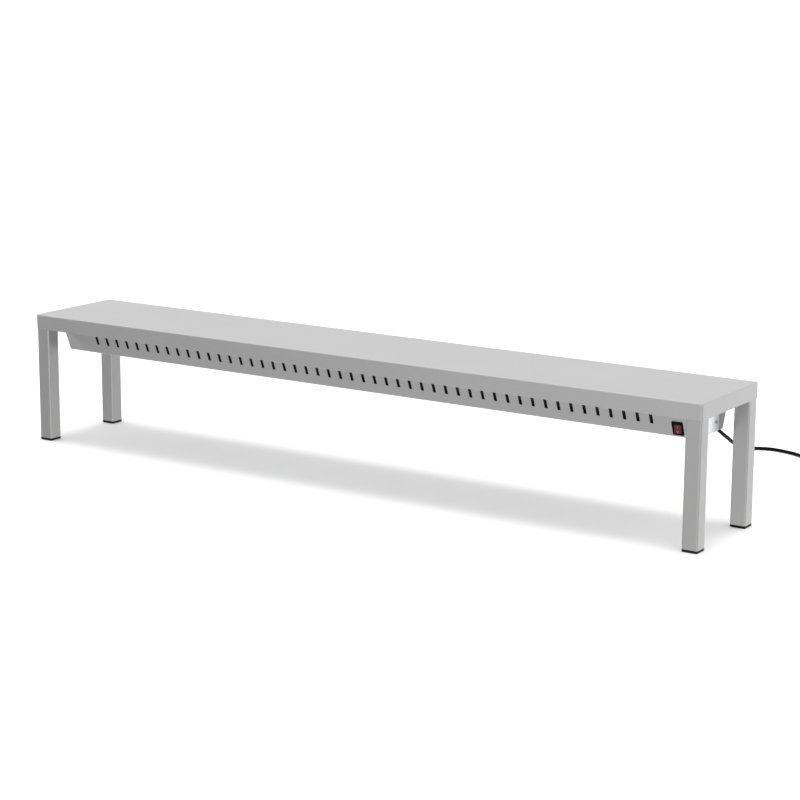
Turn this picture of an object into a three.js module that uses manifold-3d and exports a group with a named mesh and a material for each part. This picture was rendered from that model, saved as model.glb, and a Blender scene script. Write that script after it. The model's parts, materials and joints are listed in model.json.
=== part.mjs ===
// Heated shelf that keeps plated food warm: a folded steel shelf on four square legs, a slotted casing
// under it with three infrared quartz lamps, a lit rocker switch and a mains cord with its plug.
// Millimetres, +Z up, the front towards -Y, the origin on the counter below the middle of the shelf.

import * as THREE from "three";
import { mergeVertices } from "three/addons/utils/BufferGeometryUtils.js";
import Module from "manifold-3d";

const wasm = await Module();
wasm.setup();

// ---- driving dimensions ----

const GAP = 0.3; // clearance between separate pieces that touch

// shelf
const LENGTH = 2000;
const DEPTH = 300;
const HEIGHT = 350;
const SKIRT = 40;
const SHELF_SHEET = 1.2;
const CORNER_RADIUS = 5; // upright corners of the skirt, outside
const TOP_BEND = 3; // bend from the top into the skirt, outside

// legs, feet and leg brackets
const LEG_SIDE = 40;
const LEG_WALL = 1.5;
const FOOT_HEIGHT = 6;
const FOOT_PLUG_DEPTH = 22; // part of a foot inside its leg
const FOOT_PLUG_WALL = 2.5;
const BRACKET_SHEET = 1.8;
const BRACKET_DROP = 34;

// lamp casing
const CASING_CLEARANCE = 6.4; // from the leg brackets to each end of the casing
const CASING_DROP = 64; // below the skirt
const CASING_WIDTH = 140; // across its underside
const CASING_SLOPE = 0.4; // outward run of the walls over their rise
const CASING_SHEET = 1;
const CASING_BEND = 2;
const LIP_OVERLAP = 4; // the lips folded in below reach this far under the channel

// vent slots
const SLOT_WIDTH = 8.5;
const SLOT_LENGTH = 25;
const SLOT_PITCH = 35;
const SLOT_MARGIN = 110; // from each casing end to the nearest slot
const SLOT_RISE = 37.5; // middle of the slots above the casing's underside
const SLOT_CHAMFER = 1.2;

// lamp channel, end plates and hangers
const CHANNEL_WIDTH = 88;
const CHANNEL_DEPTH = 82;
const CHANNEL_SHEET = 1;
const END_SHEET = 1.2;
const SCREW_DIAMETER = 4;
const SCREW_HEAD = 8;
const SCREW_HEAD_HEIGHT = 2.2;
const SCREW_LENGTH = 8;
const SCREW_SPREAD = 60; // between the two screws of an end plate
const SCREW_RISE = 22.5; // above the casing's underside
const END_BRACKET_WIDTH = 76;
const END_BRACKET_RISE = 12;
const END_BRACKET_FLANGE = 16;
const HANGER_WIDTH = 60;
const HANGER_LENGTH = 30;
const HANGER_SHEET = 1.5;
const HANGER_FROM_END = 150;

// reflector, lamps and guards
const REFLECTOR_SHEET = 0.8;
const REFLECTOR_TOP_WIDTH = 48;
const REFLECTOR_RISE = 10; // its lower edge above the casing's underside
const REFLECTOR_INSET = 20; // from the casing's left end
const LAMP_COUNT = 3;
const LAMP_RISE = 34; // lamp axis above the casing's underside
const LAMP_SPACE = 32; // between the holders of neighbouring lamps
const TUBE_DIAMETER = 12;
const TUBE_WALL = 1.2;
const COIL_MARGIN = 20; // bare tube beyond each end of the heating coil
const HOLDER_LENGTH = 24;
const HOLDER_WIDTH = 18;
const HOLDER_WALL = 3; // below the tube
const TUBE_SEAT = 12; // tube length inside each holder
const GUARD_SPACE = 14; // between neighbouring guards
const GUARD_WIRE = 3;
const GUARD_PITCH = 44;

// wiring compartment at the switch end
const WIRING_LENGTH = 124;
const COVER_SHEET = 1.2;
const TERMINAL_LENGTH = 44;
const TERMINAL_WIDTH = 32;
const TERMINAL_HEIGHT = 26;
const TERMINAL_FROM_END = 46;
const LEAD_DIAMETER = 3;
const LEAD_SPREAD = 16;
const LEAD_FROM_END = 30; // where the leads stop at the left end
const LEAD_SLOT_LENGTH = 24;
const LEAD_SLOT_WIDTH = 7;
const LEAD_SLOT_FROM_TERMINAL = 6;

// rocker switch, in its own frame: X along the casing, Y up the wall, Z out of the wall
const SWITCH_FROM_END = 44;
const SWITCH_RISE = 22;
const BEZEL_WIDTH = 28;
const BEZEL_HEIGHT = 36;
const BEZEL_THICKNESS = 2;
const BEZEL_RADIUS = 2;
const SWITCH_BODY_WIDTH = 21.7;
const SWITCH_BODY_HEIGHT = 29.7;
const SWITCH_BODY_DEPTH = 22;
const ROCKER_WIDTH = 18.8;
const ROCKER_REACH = 13.2; // pivot to the tip of the rocker
const ROCKER_PIVOT = 2; // depth of the pivot behind the wall's face
const ROCKER_TIP_RISE = 5; // tips above the pivot
const ROCKER_VALLEY_RISE = 3.2;
const ROCKER_BACK_DEPTH = 4; // below the pivot
const ROCKER_TILT = 12; // degrees to each side
const ROCKER_POCKET_DEPTH = 12;
const BLADE_WIDTH = 4.8;
const BLADE_THICKNESS = 0.8;
const BLADE_LENGTH = 8;
const BLADE_SPREAD = 9;

// mains cord
const CORD_DIAMETER = 9;
const CORD_SIDES = 8;
const CORD_LEAD_STEPS = 64;
const CORD_TAIL_STEPS = 6;
const CORD_DIP = 30.5; // degrees below level where the cord leaves
const GLAND_FROM_END = 10;
const GLAND_RISE = 9.5; // above the casing's underside
const GLAND_FLANGE = 15;
const GLAND_FLANGE_THICKNESS = 2.4;
const GLAND_SPIGOT = CORD_DIAMETER + 2;
const GLAND_NUT = 13;
const GLAND_NUT_THICKNESS = 3;
const RELIEF_LENGTH = 32;
const RELIEF_BASE = CORD_DIAMETER + 2.6;
const RELIEF_TIP = CORD_DIAMETER + 0.6;
const COIL_RADIUS = 46; // middle of the turns
const COIL_TURNS = 3.1;
const TIE_THICKNESS = 1;
const TIE_WIDTH = 12;
const TIE_ANGLE = 60; // degrees round the coil

// plug
const PLUG_DIAMETER = 37;
const PLUG_FACE_LENGTH = 14;
const PLUG_GRIP_DIAMETER = 25;
const PLUG_GRIP_LENGTH = 24;
const PLUG_NECK_DIAMETER = CORD_DIAMETER + 3;
const PLUG_NECK_LENGTH = 12;
const PIN_DIAMETER = 4.8;
const PIN_LENGTH = 19;
const PIN_DEPTH = 8; // held inside the plug
const PIN_SPREAD = 19;

// The cord's route from the strain relief to its coil, and from the coil to the plug.
const CORD_LEAD = [
  [940, 90, 228.6], [940.5, 112, 216.2], [940.5, 137, 202.6], [939.5, 176, 180.5], [935, 222, 149.5],
  [926, 268, 112], [912, 312, 74.4], [893, 355, 41], [871, 398, 18.5], [846, 446, 7.7],
  [811, 502, 5], [775, 562, 4.8], [742, 626, 4.8], [714, 690, 4.8], [690, 750, 4.8],
  [673, 800, 4.8], [669, 834, 4.8], [680, 858, 4.8], [700, 870.5, 4.8], [723, 877, 4.8],
  [746, 876, 4.8], [775, 870, 4.8], [804, 860, 4.8], [828, 845, 4.8], [849, 826, 5],
  [870.6, 805.5, 5.8],
];
const COIL_MIDDLE = [899.6, 841.2];
const CORD_TAIL = [
  [897.1, 795.3, 34], [917, 793.6, 32.4], [936, 788, 26.2], [953, 777, 19.7], [965, 762, 18.6],
];
const PLUG_HEADING = -51.3; // degrees from +X, seen from above

// ---- levels and places that follow from them ----

const CEILING = HEIGHT - SHELF_SHEET; // underside of the shelf's top
const SKIRT_BOTTOM = HEIGHT - SKIRT;
const LEG_RADIUS = CORNER_RADIUS - SHELF_SHEET - GAP;
const LEG_OFFSET = SHELF_SHEET + GAP; // from the skirt's outside to the leg
const LEG_TOP = CEILING - GAP - BRACKET_SHEET - GAP;
const BRACKET_END = LENGTH / 2 - LEG_OFFSET - LEG_SIDE - GAP - BRACKET_SHEET;
const CASING_END = BRACKET_END - CASING_CLEARANCE;
const CASING_BOTTOM = SKIRT_BOTTOM - CASING_DROP;
const CASING_TOP = CEILING - GAP;
const CASING_SIDE = CASING_WIDTH / 2;
const CASING_TOP_SIDE = CASING_SIDE + CASING_SLOPE * (CASING_TOP - CASING_BOTTOM);
const WALL_ANGLE = Math.atan(CASING_SLOPE); // of the slanted walls from upright
const LIP_TOP = CASING_BOTTOM + CASING_SHEET;
const CHANNEL_BOTTOM = LIP_TOP + GAP;
const CHANNEL_TOP = CHANNEL_BOTTOM + CHANNEL_DEPTH;
const CHANNEL_SIDE = CHANNEL_WIDTH / 2;
const CHANNEL_INSIDE = CHANNEL_SIDE - CHANNEL_SHEET - GAP; // half width left for what is in it
const CHANNEL_CEILING = CHANNEL_TOP - CHANNEL_SHEET;
const PARTITION_X = CASING_END - WIRING_LENGTH;
const REFLECTOR_LEFT = REFLECTOR_INSET - CASING_END;
const REFLECTOR_RIGHT = PARTITION_X - GAP;
const REFLECTOR_CEILING = CHANNEL_CEILING - GAP - REFLECTOR_SHEET;
const LAMP_PITCH = (REFLECTOR_RIGHT - REFLECTOR_LEFT) / LAMP_COUNT;
const LAMP_AXIS = CASING_BOTTOM + LAMP_RISE;
const TUBE_LENGTH = LAMP_PITCH - LAMP_SPACE - 2 * (HOLDER_LENGTH - TUBE_SEAT);
const HANGER_BOTTOM = CHANNEL_TOP + GAP;
const HANGER_TOP = CASING_TOP - CASING_SHEET - GAP;
const SCREW_HEIGHT = CASING_BOTTOM + SCREW_RISE;
const HANGER_X = CASING_END - HANGER_FROM_END;
const TERMINAL_X = CASING_END - TERMINAL_FROM_END - TERMINAL_LENGTH;
const LEAD_SLOT_X = TERMINAL_X - LEAD_SLOT_FROM_TERMINAL - LEAD_SLOT_LENGTH;
const CORD_RADIUS = CORD_DIAMETER / 2;
const COIL_RISE = CORD_DIAMETER * 1.01; // from one turn to the next
const DEGREE = Math.PI / 180;
const CORNERS = [
  ["front_left", -1, -1], ["front_right", 1, -1], ["rear_left", -1, 1], ["rear_right", 1, 1],
];

// Middle of the switch on the outer face of the front wall.
const SWITCH_PLACE = new THREE.Vector3(
  CASING_END - SWITCH_FROM_END,
  -CASING_SIDE - CASING_SLOPE * SWITCH_RISE,
  CASING_BOTTOM + SWITCH_RISE,
);
const SWITCH_TURN = new THREE.Matrix4().makeRotationX(Math.PI / 2 + WALL_ANGLE);

// ---- solids and meshes ----

// Closed manifold-3d solid of a three.js geometry.
function solid(geometry) {
  const bare = geometry.clone();
  bare.deleteAttribute("normal");
  bare.deleteAttribute("uv");
  const merged = mergeVertices(bare, 1e-4);
  const mesh = new wasm.Mesh({
    numProp: 3,
    vertProperties: new Float32Array(merged.attributes.position.array),
    triVerts: new Uint32Array(merged.index.array),
  });
  return new wasm.Manifold(mesh);
}

// three.js geometry of a manifold-3d solid.
function geometryOf(body) {
  const mesh = body.getMesh();
  const geometry = new THREE.BufferGeometry();
  geometry.setAttribute("position", new THREE.BufferAttribute(mesh.vertProperties, 3));
  geometry.setIndex(new THREE.BufferAttribute(mesh.triVerts, 1));
  geometry.computeVertexNormals();
  return geometry;
}

function joined(bodies) {
  return bodies.reduce((whole, body) => whole.add(body));
}

function box(x0, x1, y0, y1, z0, z1) {
  const geometry = new THREE.BoxGeometry(x1 - x0, y1 - y0, z1 - z0);
  return solid(geometry.translate((x0 + x1) / 2, (y0 + y1) / 2, (z0 + z1) / 2));
}

// Rectangle about the origin with round corners.
function roundedRectangle(width, depth, radius) {
  const x = width / 2 - radius;
  const y = depth / 2 - radius;
  const shape = new THREE.Shape();
  shape.absarc(x, y, radius, 0, Math.PI / 2);
  shape.absarc(-x, y, radius, Math.PI / 2, Math.PI);
  shape.absarc(-x, -y, radius, Math.PI, 1.5 * Math.PI);
  shape.absarc(x, -y, radius, 1.5 * Math.PI, 2 * Math.PI);
  return shape;
}

function polygon(points) {
  return new THREE.Shape(points.map(([x, y]) => new THREE.Vector2(x, y)));
}

function circle(diameter) {
  return new THREE.Shape().absarc(0, 0, diameter / 2, 0, 2 * Math.PI);
}

function upright(shape, z0, z1, curveSegments = 2) {
  const options = { depth: z1 - z0, bevelEnabled: false, curveSegments };
  return solid(new THREE.ExtrudeGeometry(shape, options).translate(0, 0, z0));
}

// Prism along X of an outline drawn in (y, z).
function alongX(shape, x0, x1, curveSegments = 8) {
  const options = { depth: x1 - x0, bevelEnabled: false, curveSegments };
  const turn = new THREE.Matrix4().makeBasis(
    new THREE.Vector3(0, 1, 0),
    new THREE.Vector3(0, 0, 1),
    new THREE.Vector3(1, 0, 0),
  );
  return solid(new THREE.ExtrudeGeometry(shape, options).applyMatrix4(turn).translate(x0, 0, 0));
}

// Cylinder or cone between two points.
function rod(from, to, startDiameter, endDiameter = startDiameter, sides = 16) {
  const start = new THREE.Vector3(...from);
  const span = new THREE.Vector3(...to).sub(start);
  const geometry = new THREE.CylinderGeometry(endDiameter / 2, startDiameter / 2, span.length(), sides);
  const turn = new THREE.Quaternion().setFromUnitVectors(
    new THREE.Vector3(0, 1, 0),
    span.clone().normalize(),
  );
  geometry.applyQuaternion(turn);
  return solid(geometry.translate(...start.addScaledVector(span, 0.5).toArray()));
}

// Tube along a smooth curve through the points.
function tube(points, diameter, sides, steps) {
  const extrudePath = new THREE.CatmullRomCurve3(
    points.map((point) => new THREE.Vector3(...point)),
    false,
    "centripetal",
  );
  const options = { steps, extrudePath, curveSegments: sides / 2, bevelEnabled: false };
  return solid(new THREE.ExtrudeGeometry(circle(diameter), options));
}

// Solid of revolution about Z. The profile is a list of [radius, z].
function turned(profile, segments) {
  const points = profile.map(([radius, z]) => new THREE.Vector2(radius, z));
  return solid(new THREE.LatheGeometry(points, segments).rotateX(Math.PI / 2));
}

function direction(from, to) {
  const [dx, dy] = [to[0] - from[0], to[1] - from[1]];
  const length = Math.hypot(dx, dy);
  return [dx / length, dy / length];
}

// A path with each inner corner turned into an arc of the given radius.
function withBends(path, radius, segments = 3) {
  const bent = [path[0]];
  for (let i = 1; i < path.length - 1; i++) {
    const [ax, ay] = direction(path[i], path[i - 1]);
    const [bx, by] = direction(path[i], path[i + 1]);
    const half = Math.acos(ax * bx + ay * by) / 2;
    const back = radius / Math.tan(half);
    const [mx, my] = direction([0, 0], [ax + bx, ay + by]);
    const reach = radius / Math.sin(half);
    const centre = [path[i][0] + mx * reach, path[i][1] + my * reach];
    const start = [path[i][0] + ax * back - centre[0], path[i][1] + ay * back - centre[1]];
    const end = [path[i][0] + bx * back - centre[0], path[i][1] + by * back - centre[1]];
    const from = Math.atan2(start[1], start[0]);
    const turn = Math.atan2(
      start[0] * end[1] - start[1] * end[0],
      start[0] * end[0] + start[1] * end[1],
    );
    for (let k = 0; k <= segments; k++) {
      const angle = from + (turn * k) / segments;
      bent.push([centre[0] + radius * Math.cos(angle), centre[1] + radius * Math.sin(angle)]);
    }
  }
  bent.push(path.at(-1));
  return bent;
}

// Outline of a folded sheet: the path is its outer face, and its thickness lies to the path's right.
function folded(path, thickness) {
  const inner = path.map((point, i) => {
    const [ax, ay] = direction(path[Math.max(i - 1, 0)], path[Math.max(i, 1)]);
    const last = path.length - 1;
    const [bx, by] = direction(path[Math.min(i, last - 1)], path[Math.min(i + 1, last)]);
    const share = thickness / (1 + ax * bx + ay * by);
    return [point[0] + (ay + by) * share, point[1] - (ax + bx) * share];
  });
  return polygon([...path, ...inner.reverse()]);
}

const finishes = {
  satinSteel: { color: 0xc6c7c9, roughness: 0.34, metalness: 0.9 },
  plainSteel: { color: 0xb4b6b8, roughness: 0.45, metalness: 0.9 },
  brightSteel: { color: 0xe3e7ee, roughness: 0.2, metalness: 0.95 },
  zincSteel: { color: 0xa9adb0, roughness: 0.5, metalness: 0.8 },
  blackPlastic: { color: 0x1b1c1d, roughness: 0.6, metalness: 0 },
  redLens: { color: 0x8e1420, roughness: 0.25, metalness: 0 },
  quartz: { color: 0xe9edf0, roughness: 0.05, metalness: 0 },
  heatingWire: { color: 0x6b625c, roughness: 0.6, metalness: 0.7 },
  ceramic: { color: 0xe8e3d6, roughness: 0.55, metalness: 0 },
  leadSleeve: { color: 0xd8d2c2, roughness: 0.8, metalness: 0 },
  cordSheath: { color: 0x151515, roughness: 0.55, metalness: 0 },
  brass: { color: 0xc9a45a, roughness: 0.3, metalness: 0.95 },
};

const heatedShelf = new THREE.Group();

function place(name, body, finish, parent = heatedShelf) {
  const mesh = new THREE.Mesh(geometryOf(body), new THREE.MeshStandardMaterial(finishes[finish]));
  mesh.name = name;
  parent.add(mesh);
  return mesh;
}

// ---- shelf, legs and feet ----

// Box with round upright corners and a round upper edge, from a given height up to its top.
function softBlock(width, depth, cornerRadius, edgeRadius, bottom, top) {
  const outline = roundedRectangle(
    width - 2 * edgeRadius,
    depth - 2 * edgeRadius,
    cornerRadius - edgeRadius,
  );
  const options = {
    depth: top - bottom,
    bevelSize: edgeRadius,
    bevelThickness: edgeRadius,
    bevelSegments: 3,
    curveSegments: 3,
  };
  const geometry = new THREE.ExtrudeGeometry(outline, options).translate(0, 0, bottom - edgeRadius);
  const below = box(-width, width, -depth, depth, bottom - 3 * edgeRadius, bottom);
  return solid(geometry).subtract(below);
}

function makeShelf() {
  const outside = softBlock(LENGTH, DEPTH, CORNER_RADIUS, TOP_BEND, SKIRT_BOTTOM, HEIGHT);
  const inside = softBlock(
    LENGTH - 2 * SHELF_SHEET,
    DEPTH - 2 * SHELF_SHEET,
    CORNER_RADIUS - SHELF_SHEET,
    TOP_BEND - SHELF_SHEET,
    SKIRT_BOTTOM - SKIRT,
    CEILING,
  );
  place("shelf_tray", outside.subtract(inside), "satinSteel");
}

// Group at a corner of the shelf, with X and Y pointing inwards from the skirt's outside.
function cornerFrame(sideX, sideY) {
  const frame = new THREE.Group();
  frame.position.set((sideX * LENGTH) / 2, (sideY * DEPTH) / 2, 0);
  frame.rotation.z = Math.atan2(-sideY, -sideX) - Math.PI / 4;
  heatedShelf.add(frame);
  return frame;
}

const LEG_MIDDLE = LEG_OFFSET + LEG_SIDE / 2;

function makeLeg(name, frame) {
  const centred = (body) => body.translate(LEG_MIDDLE, LEG_MIDDLE, 0);
  const hollow = LEG_SIDE - 2 * LEG_WALL;
  const hollowRadius = LEG_RADIUS - LEG_WALL;
  const section = roundedRectangle(LEG_SIDE, LEG_SIDE, LEG_RADIUS);
  section.holes.push(roundedRectangle(hollow, hollow, hollowRadius));
  place(`leg_${name}`, centred(upright(section, FOOT_HEIGHT + GAP, LEG_TOP)), "satinSteel", frame);

  const plugWidth = hollow - 2 * GAP;
  const plugCore = plugWidth - 2 * FOOT_PLUG_WALL;
  const plug = roundedRectangle(plugWidth, plugWidth, hollowRadius - GAP);
  plug.holes.push(roundedRectangle(plugCore, plugCore, 1));
  const cap = upright(roundedRectangle(LEG_SIDE, LEG_SIDE, LEG_RADIUS), 0, FOOT_HEIGHT);
  const foot = cap.add(upright(plug, FOOT_HEIGHT / 2, FOOT_HEIGHT + FOOT_PLUG_DEPTH));
  place(`foot_${name}`, centred(foot), "blackPlastic", frame);
}

// Pressed cap over a leg's two inner faces and its top, welded under the shelf.
function makeLegBracket(name, frame) {
  const inner = LEG_OFFSET + LEG_SIDE + GAP;
  const outer = inner + BRACKET_SHEET;
  const edge = CORNER_RADIUS;
  const shell = box(edge, outer, edge, outer, CEILING - BRACKET_DROP, CEILING - GAP);
  const hollow = box(0, inner, 0, inner, 0, LEG_TOP + GAP);
  place(`leg_bracket_${name}`, shell.subtract(hollow), "plainSteel", frame);
}

// ---- lamp casing ----

function ventSlotCutters(sideY) {
  const half = SLOT_WIDTH / 2;
  const end = SLOT_LENGTH / 2;
  const outline = polygon([
    [half - SLOT_CHAMFER, -end], [half, SLOT_CHAMFER - end], [half, end - SLOT_CHAMFER],
    [half - SLOT_CHAMFER, end], [SLOT_CHAMFER - half, end], [-half, end - SLOT_CHAMFER],
    [-half, SLOT_CHAMFER - end], [SLOT_CHAMFER - half, -end],
  ]);
  const reach = 4 * CASING_SHEET;
  const slot = new THREE.ExtrudeGeometry(outline, { depth: 2 * reach, bevelEnabled: false });
  slot.translate(0, 0, -reach).rotateX(sideY * -(Math.PI / 2 + WALL_ANGLE));
  const side = sideY * (CASING_SIDE + CASING_SLOPE * SLOT_RISE);
  const count = Math.floor((2 * (CASING_END - SLOT_MARGIN)) / SLOT_PITCH) + 1;
  return Array.from({ length: count }, (_, i) => {
    const x = (i - (count - 1) / 2) * SLOT_PITCH;
    return solid(slot.clone().translate(x, side, CASING_BOTTOM + SLOT_RISE));
  });
}

// Flap folded in from a slanted wall, which closes the casing's end beside the channel.
function endFlap(sideX, sideY) {
  const edge = CHANNEL_SIDE + GAP;
  const low = LIP_TOP + GAP;
  const high = CASING_TOP - CASING_SHEET - GAP;
  const seam = (z) => CASING_SIDE + CASING_SLOPE * (z - CASING_BOTTOM) - CASING_SHEET / 2;
  const corners = [[edge, low], [seam(low), low], [seam(high), high], [edge, high]];
  const outline = polygon(corners.map(([y, z]) => [sideY * y, z]));
  const inside = CASING_END - CASING_SHEET;
  return sideX > 0 ? alongX(outline, inside, CASING_END) : alongX(outline, -CASING_END, -inside);
}

function makeCasing() {
  const lipEdge = CHANNEL_SIDE - LIP_OVERLAP;
  const path = withBends(
    [
      [-lipEdge, CASING_BOTTOM], [-CASING_SIDE, CASING_BOTTOM], [-CASING_TOP_SIDE, CASING_TOP],
      [CASING_TOP_SIDE, CASING_TOP], [CASING_SIDE, CASING_BOTTOM], [lipEdge, CASING_BOTTOM],
    ],
    CASING_BEND,
  );
  const walls = alongX(folded(path, CASING_SHEET), -CASING_END, CASING_END);
  const flaps = [-1, 1].flatMap((sideX) => [-1, 1].map((sideY) => endFlap(sideX, sideY)));
  const sheet = joined([walls, ...flaps]);
  const opening = solid(
    new THREE.BoxGeometry(
      SWITCH_BODY_WIDTH + 2 * GAP,
      SWITCH_BODY_HEIGHT + 2 * GAP,
      8 * CASING_SHEET,
    )
      .applyMatrix4(SWITCH_TURN)
      .translate(...SWITCH_PLACE.toArray()),
  );
  const cordHole = rod(
    reliefAt(0), reliefAt(RELIEF_LENGTH), RELIEF_BASE + 4 * GAP, RELIEF_TIP + 4 * GAP,
  );
  const slots = joined([...ventSlotCutters(-1), ...ventSlotCutters(1)]);
  place("lamp_casing", sheet.subtract(slots).subtract(opening).subtract(cordHole), "satinSteel");
}

// ---- lamp channel ----

// Point on the strain relief's axis, at a distance from the channel's rear wall.
function reliefAt(distance) {
  return [
    CASING_END - GLAND_FROM_END,
    CHANNEL_SIDE + distance * Math.cos(CORD_DIP * DEGREE),
    CASING_BOTTOM + GLAND_RISE - distance * Math.sin(CORD_DIP * DEGREE),
  ];
}

function makeChannel() {
  const path = withBends(
    [
      [-CHANNEL_SIDE, CHANNEL_BOTTOM], [-CHANNEL_SIDE, CHANNEL_TOP],
      [CHANNEL_SIDE, CHANNEL_TOP], [CHANNEL_SIDE, CHANNEL_BOTTOM],
    ],
    CASING_BEND,
  );
  const sheet = alongX(folded(path, CHANNEL_SHEET), -CASING_END, CASING_END);
  const [glandX, glandY, glandZ] = reliefAt(0);
  const glandHole = rod(
    [glandX, glandY + CHANNEL_SHEET, glandZ],
    [glandX, glandY - 2 * CHANNEL_SHEET, glandZ],
    GLAND_SPIGOT + 2 * GAP,
  );
  const leadSlots = joined(
    [-1, 1].map((side) =>
      box(
        LEAD_SLOT_X,
        LEAD_SLOT_X + LEAD_SLOT_LENGTH,
        (side * LEAD_SPREAD) / 2 - LEAD_SLOT_WIDTH / 2,
        (side * LEAD_SPREAD) / 2 + LEAD_SLOT_WIDTH / 2,
        CHANNEL_CEILING - CHANNEL_SHEET,
        CHANNEL_TOP + CHANNEL_SHEET,
      ),
    ),
  );
  place("lamp_channel", sheet.subtract(glandHole).subtract(leadSlots), "brightSteel");

  for (const [name, x] of [["left", -HANGER_X], ["right", HANGER_X]]) {
    const loop = box(
      x - HANGER_LENGTH / 2, x + HANGER_LENGTH / 2,
      -HANGER_WIDTH / 2, HANGER_WIDTH / 2,
      HANGER_BOTTOM, HANGER_TOP,
    );
    const hollow = box(
      x - HANGER_LENGTH, x + HANGER_LENGTH,
      HANGER_SHEET - HANGER_WIDTH / 2, HANGER_WIDTH / 2 - HANGER_SHEET,
      HANGER_BOTTOM + HANGER_SHEET, HANGER_TOP - HANGER_SHEET,
    );
    place(`channel_hanger_${name}`, loop.subtract(hollow), "plainSteel");
  }
}

// End plate outside the channel, the bracket inside it, and the two screws that hold them together.
function makeChannelEnd(name, side) {
  const face = CASING_END + GAP;
  const inside = CASING_END - GAP;
  const between = (from, to, ...rest) =>
    side > 0 ? box(from, to, ...rest) : box(-to, -from, ...rest);
  const screwLine = (y, from, to, diameter) =>
    rod([side * from, y, SCREW_HEIGHT], [side * to, y, SCREW_HEIGHT], diameter);
  const screwSides = [["front", -SCREW_SPREAD / 2], ["rear", SCREW_SPREAD / 2]];
  const holes = joined(
    screwSides.map(([, y]) =>
      screwLine(y, inside - 2 * END_SHEET, face + 2 * END_SHEET, SCREW_DIAMETER + 2 * GAP),
    ),
  );

  const plate = between(face, face + END_SHEET, -CHANNEL_SIDE, CHANNEL_SIDE, CASING_BOTTOM, CHANNEL_TOP);
  place(`end_plate_${name}`, plate.subtract(holes), "brightSteel");

  const half = END_BRACKET_WIDTH / 2;
  const bottom = CASING_BOTTOM + END_BRACKET_RISE;
  const top = CHANNEL_CEILING - GAP;
  const upstand = between(inside - END_SHEET, inside, -half, half, bottom, top);
  const flange = between(inside - END_BRACKET_FLANGE, inside, -half, half, top - END_SHEET, top);
  place(`end_bracket_${name}`, upstand.add(flange).subtract(holes), "plainSteel");

  for (const [where, y] of screwSides) {
    const seat = face + END_SHEET + GAP;
    const head = screwLine(y, seat, seat + SCREW_HEAD_HEIGHT, SCREW_HEAD);
    const shank = screwLine(y, seat + SCREW_HEAD_HEIGHT / 2, seat - SCREW_LENGTH, SCREW_DIAMETER);
    place(`end_screw_${name}_${where}`, head.add(shank), "zincSteel");
  }
}

// ---- reflector, lamps and guards ----

function makeReflector() {
  const side = CHANNEL_INSIDE;
  const top = CHANNEL_CEILING - GAP;
  const path = withBends(
    [
      [-side, CASING_BOTTOM + REFLECTOR_RISE], [-REFLECTOR_TOP_WIDTH / 2, top],
      [REFLECTOR_TOP_WIDTH / 2, top], [side, CASING_BOTTOM + REFLECTOR_RISE],
    ],
    CASING_BEND,
  );
  const sheet = alongX(folded(path, REFLECTOR_SHEET), REFLECTOR_LEFT, REFLECTOR_RIGHT);
  place("reflector", sheet, "brightSteel");
}

function makeLamp(number) {
  const middle = REFLECTOR_LEFT + (number - 0.5) * LAMP_PITCH;
  const halfTube = TUBE_LENGTH / 2;
  const axisRod = (from, to, diameter) =>
    rod([middle + from, 0, LAMP_AXIS], [middle + to, 0, LAMP_AXIS], diameter, diameter, 20);

  const bore = TUBE_DIAMETER - 2 * TUBE_WALL;
  const glass = axisRod(-halfTube, halfTube, TUBE_DIAMETER);
  const core = axisRod(-halfTube - TUBE_SEAT, halfTube + TUBE_SEAT, bore);
  place(`quartz_tube_${number}`, glass.subtract(core), "quartz");

  const halfCoil = halfTube - TUBE_SEAT - COIL_MARGIN;
  place(`heating_coil_${number}`, axisRod(-halfCoil, halfCoil, bore - 2 * GAP), "heatingWire");

  for (const [name, side] of [["left", -1], ["right", 1]]) {
    const inner = side * (halfTube - TUBE_SEAT);
    const outer = inner + side * HOLDER_LENGTH;
    const seat = axisRod(inner - side * TUBE_SEAT, side * (halfTube + GAP), TUBE_DIAMETER + 2 * GAP);
    const block = box(
      middle + Math.min(inner, outer),
      middle + Math.max(inner, outer),
      -HOLDER_WIDTH / 2,
      HOLDER_WIDTH / 2,
      LAMP_AXIS - TUBE_DIAMETER / 2 - HOLDER_WALL,
      REFLECTOR_CEILING - GAP,
    );
    place(`lamp_holder_${number}_${name}`, block.subtract(seat), "ceramic");
  }
}

// Welded wire guard that lies on the casing's two lips, below one lamp.
function makeGuard(number) {
  const middle = REFLECTOR_LEFT + (number - 0.5) * LAMP_PITCH;
  const half = (LAMP_PITCH - GUARD_SPACE) / 2;
  const side = CHANNEL_INSIDE - GUARD_WIRE / 2;
  const level = LIP_TOP + GAP + GUARD_WIRE / 2;
  const wire = (x0, y0, x1, y1) =>
    rod([middle + x0, y0, level], [middle + x1, y1, level], GUARD_WIRE, GUARD_WIRE, 6);
  const end = half - GUARD_WIRE / 2;
  const wires = [-side, 0, side].map((y) => wire(-half, y, half, y));
  const crossings = Math.round((2 * end) / GUARD_PITCH);
  for (let i = 0; i <= crossings; i++) {
    const x = -end + (2 * end * i) / crossings;
    wires.push(wire(x, -side, x, side));
  }
  place(`lamp_guard_${number}`, joined(wires), "brightSteel");
}

// ---- wiring compartment ----

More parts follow.
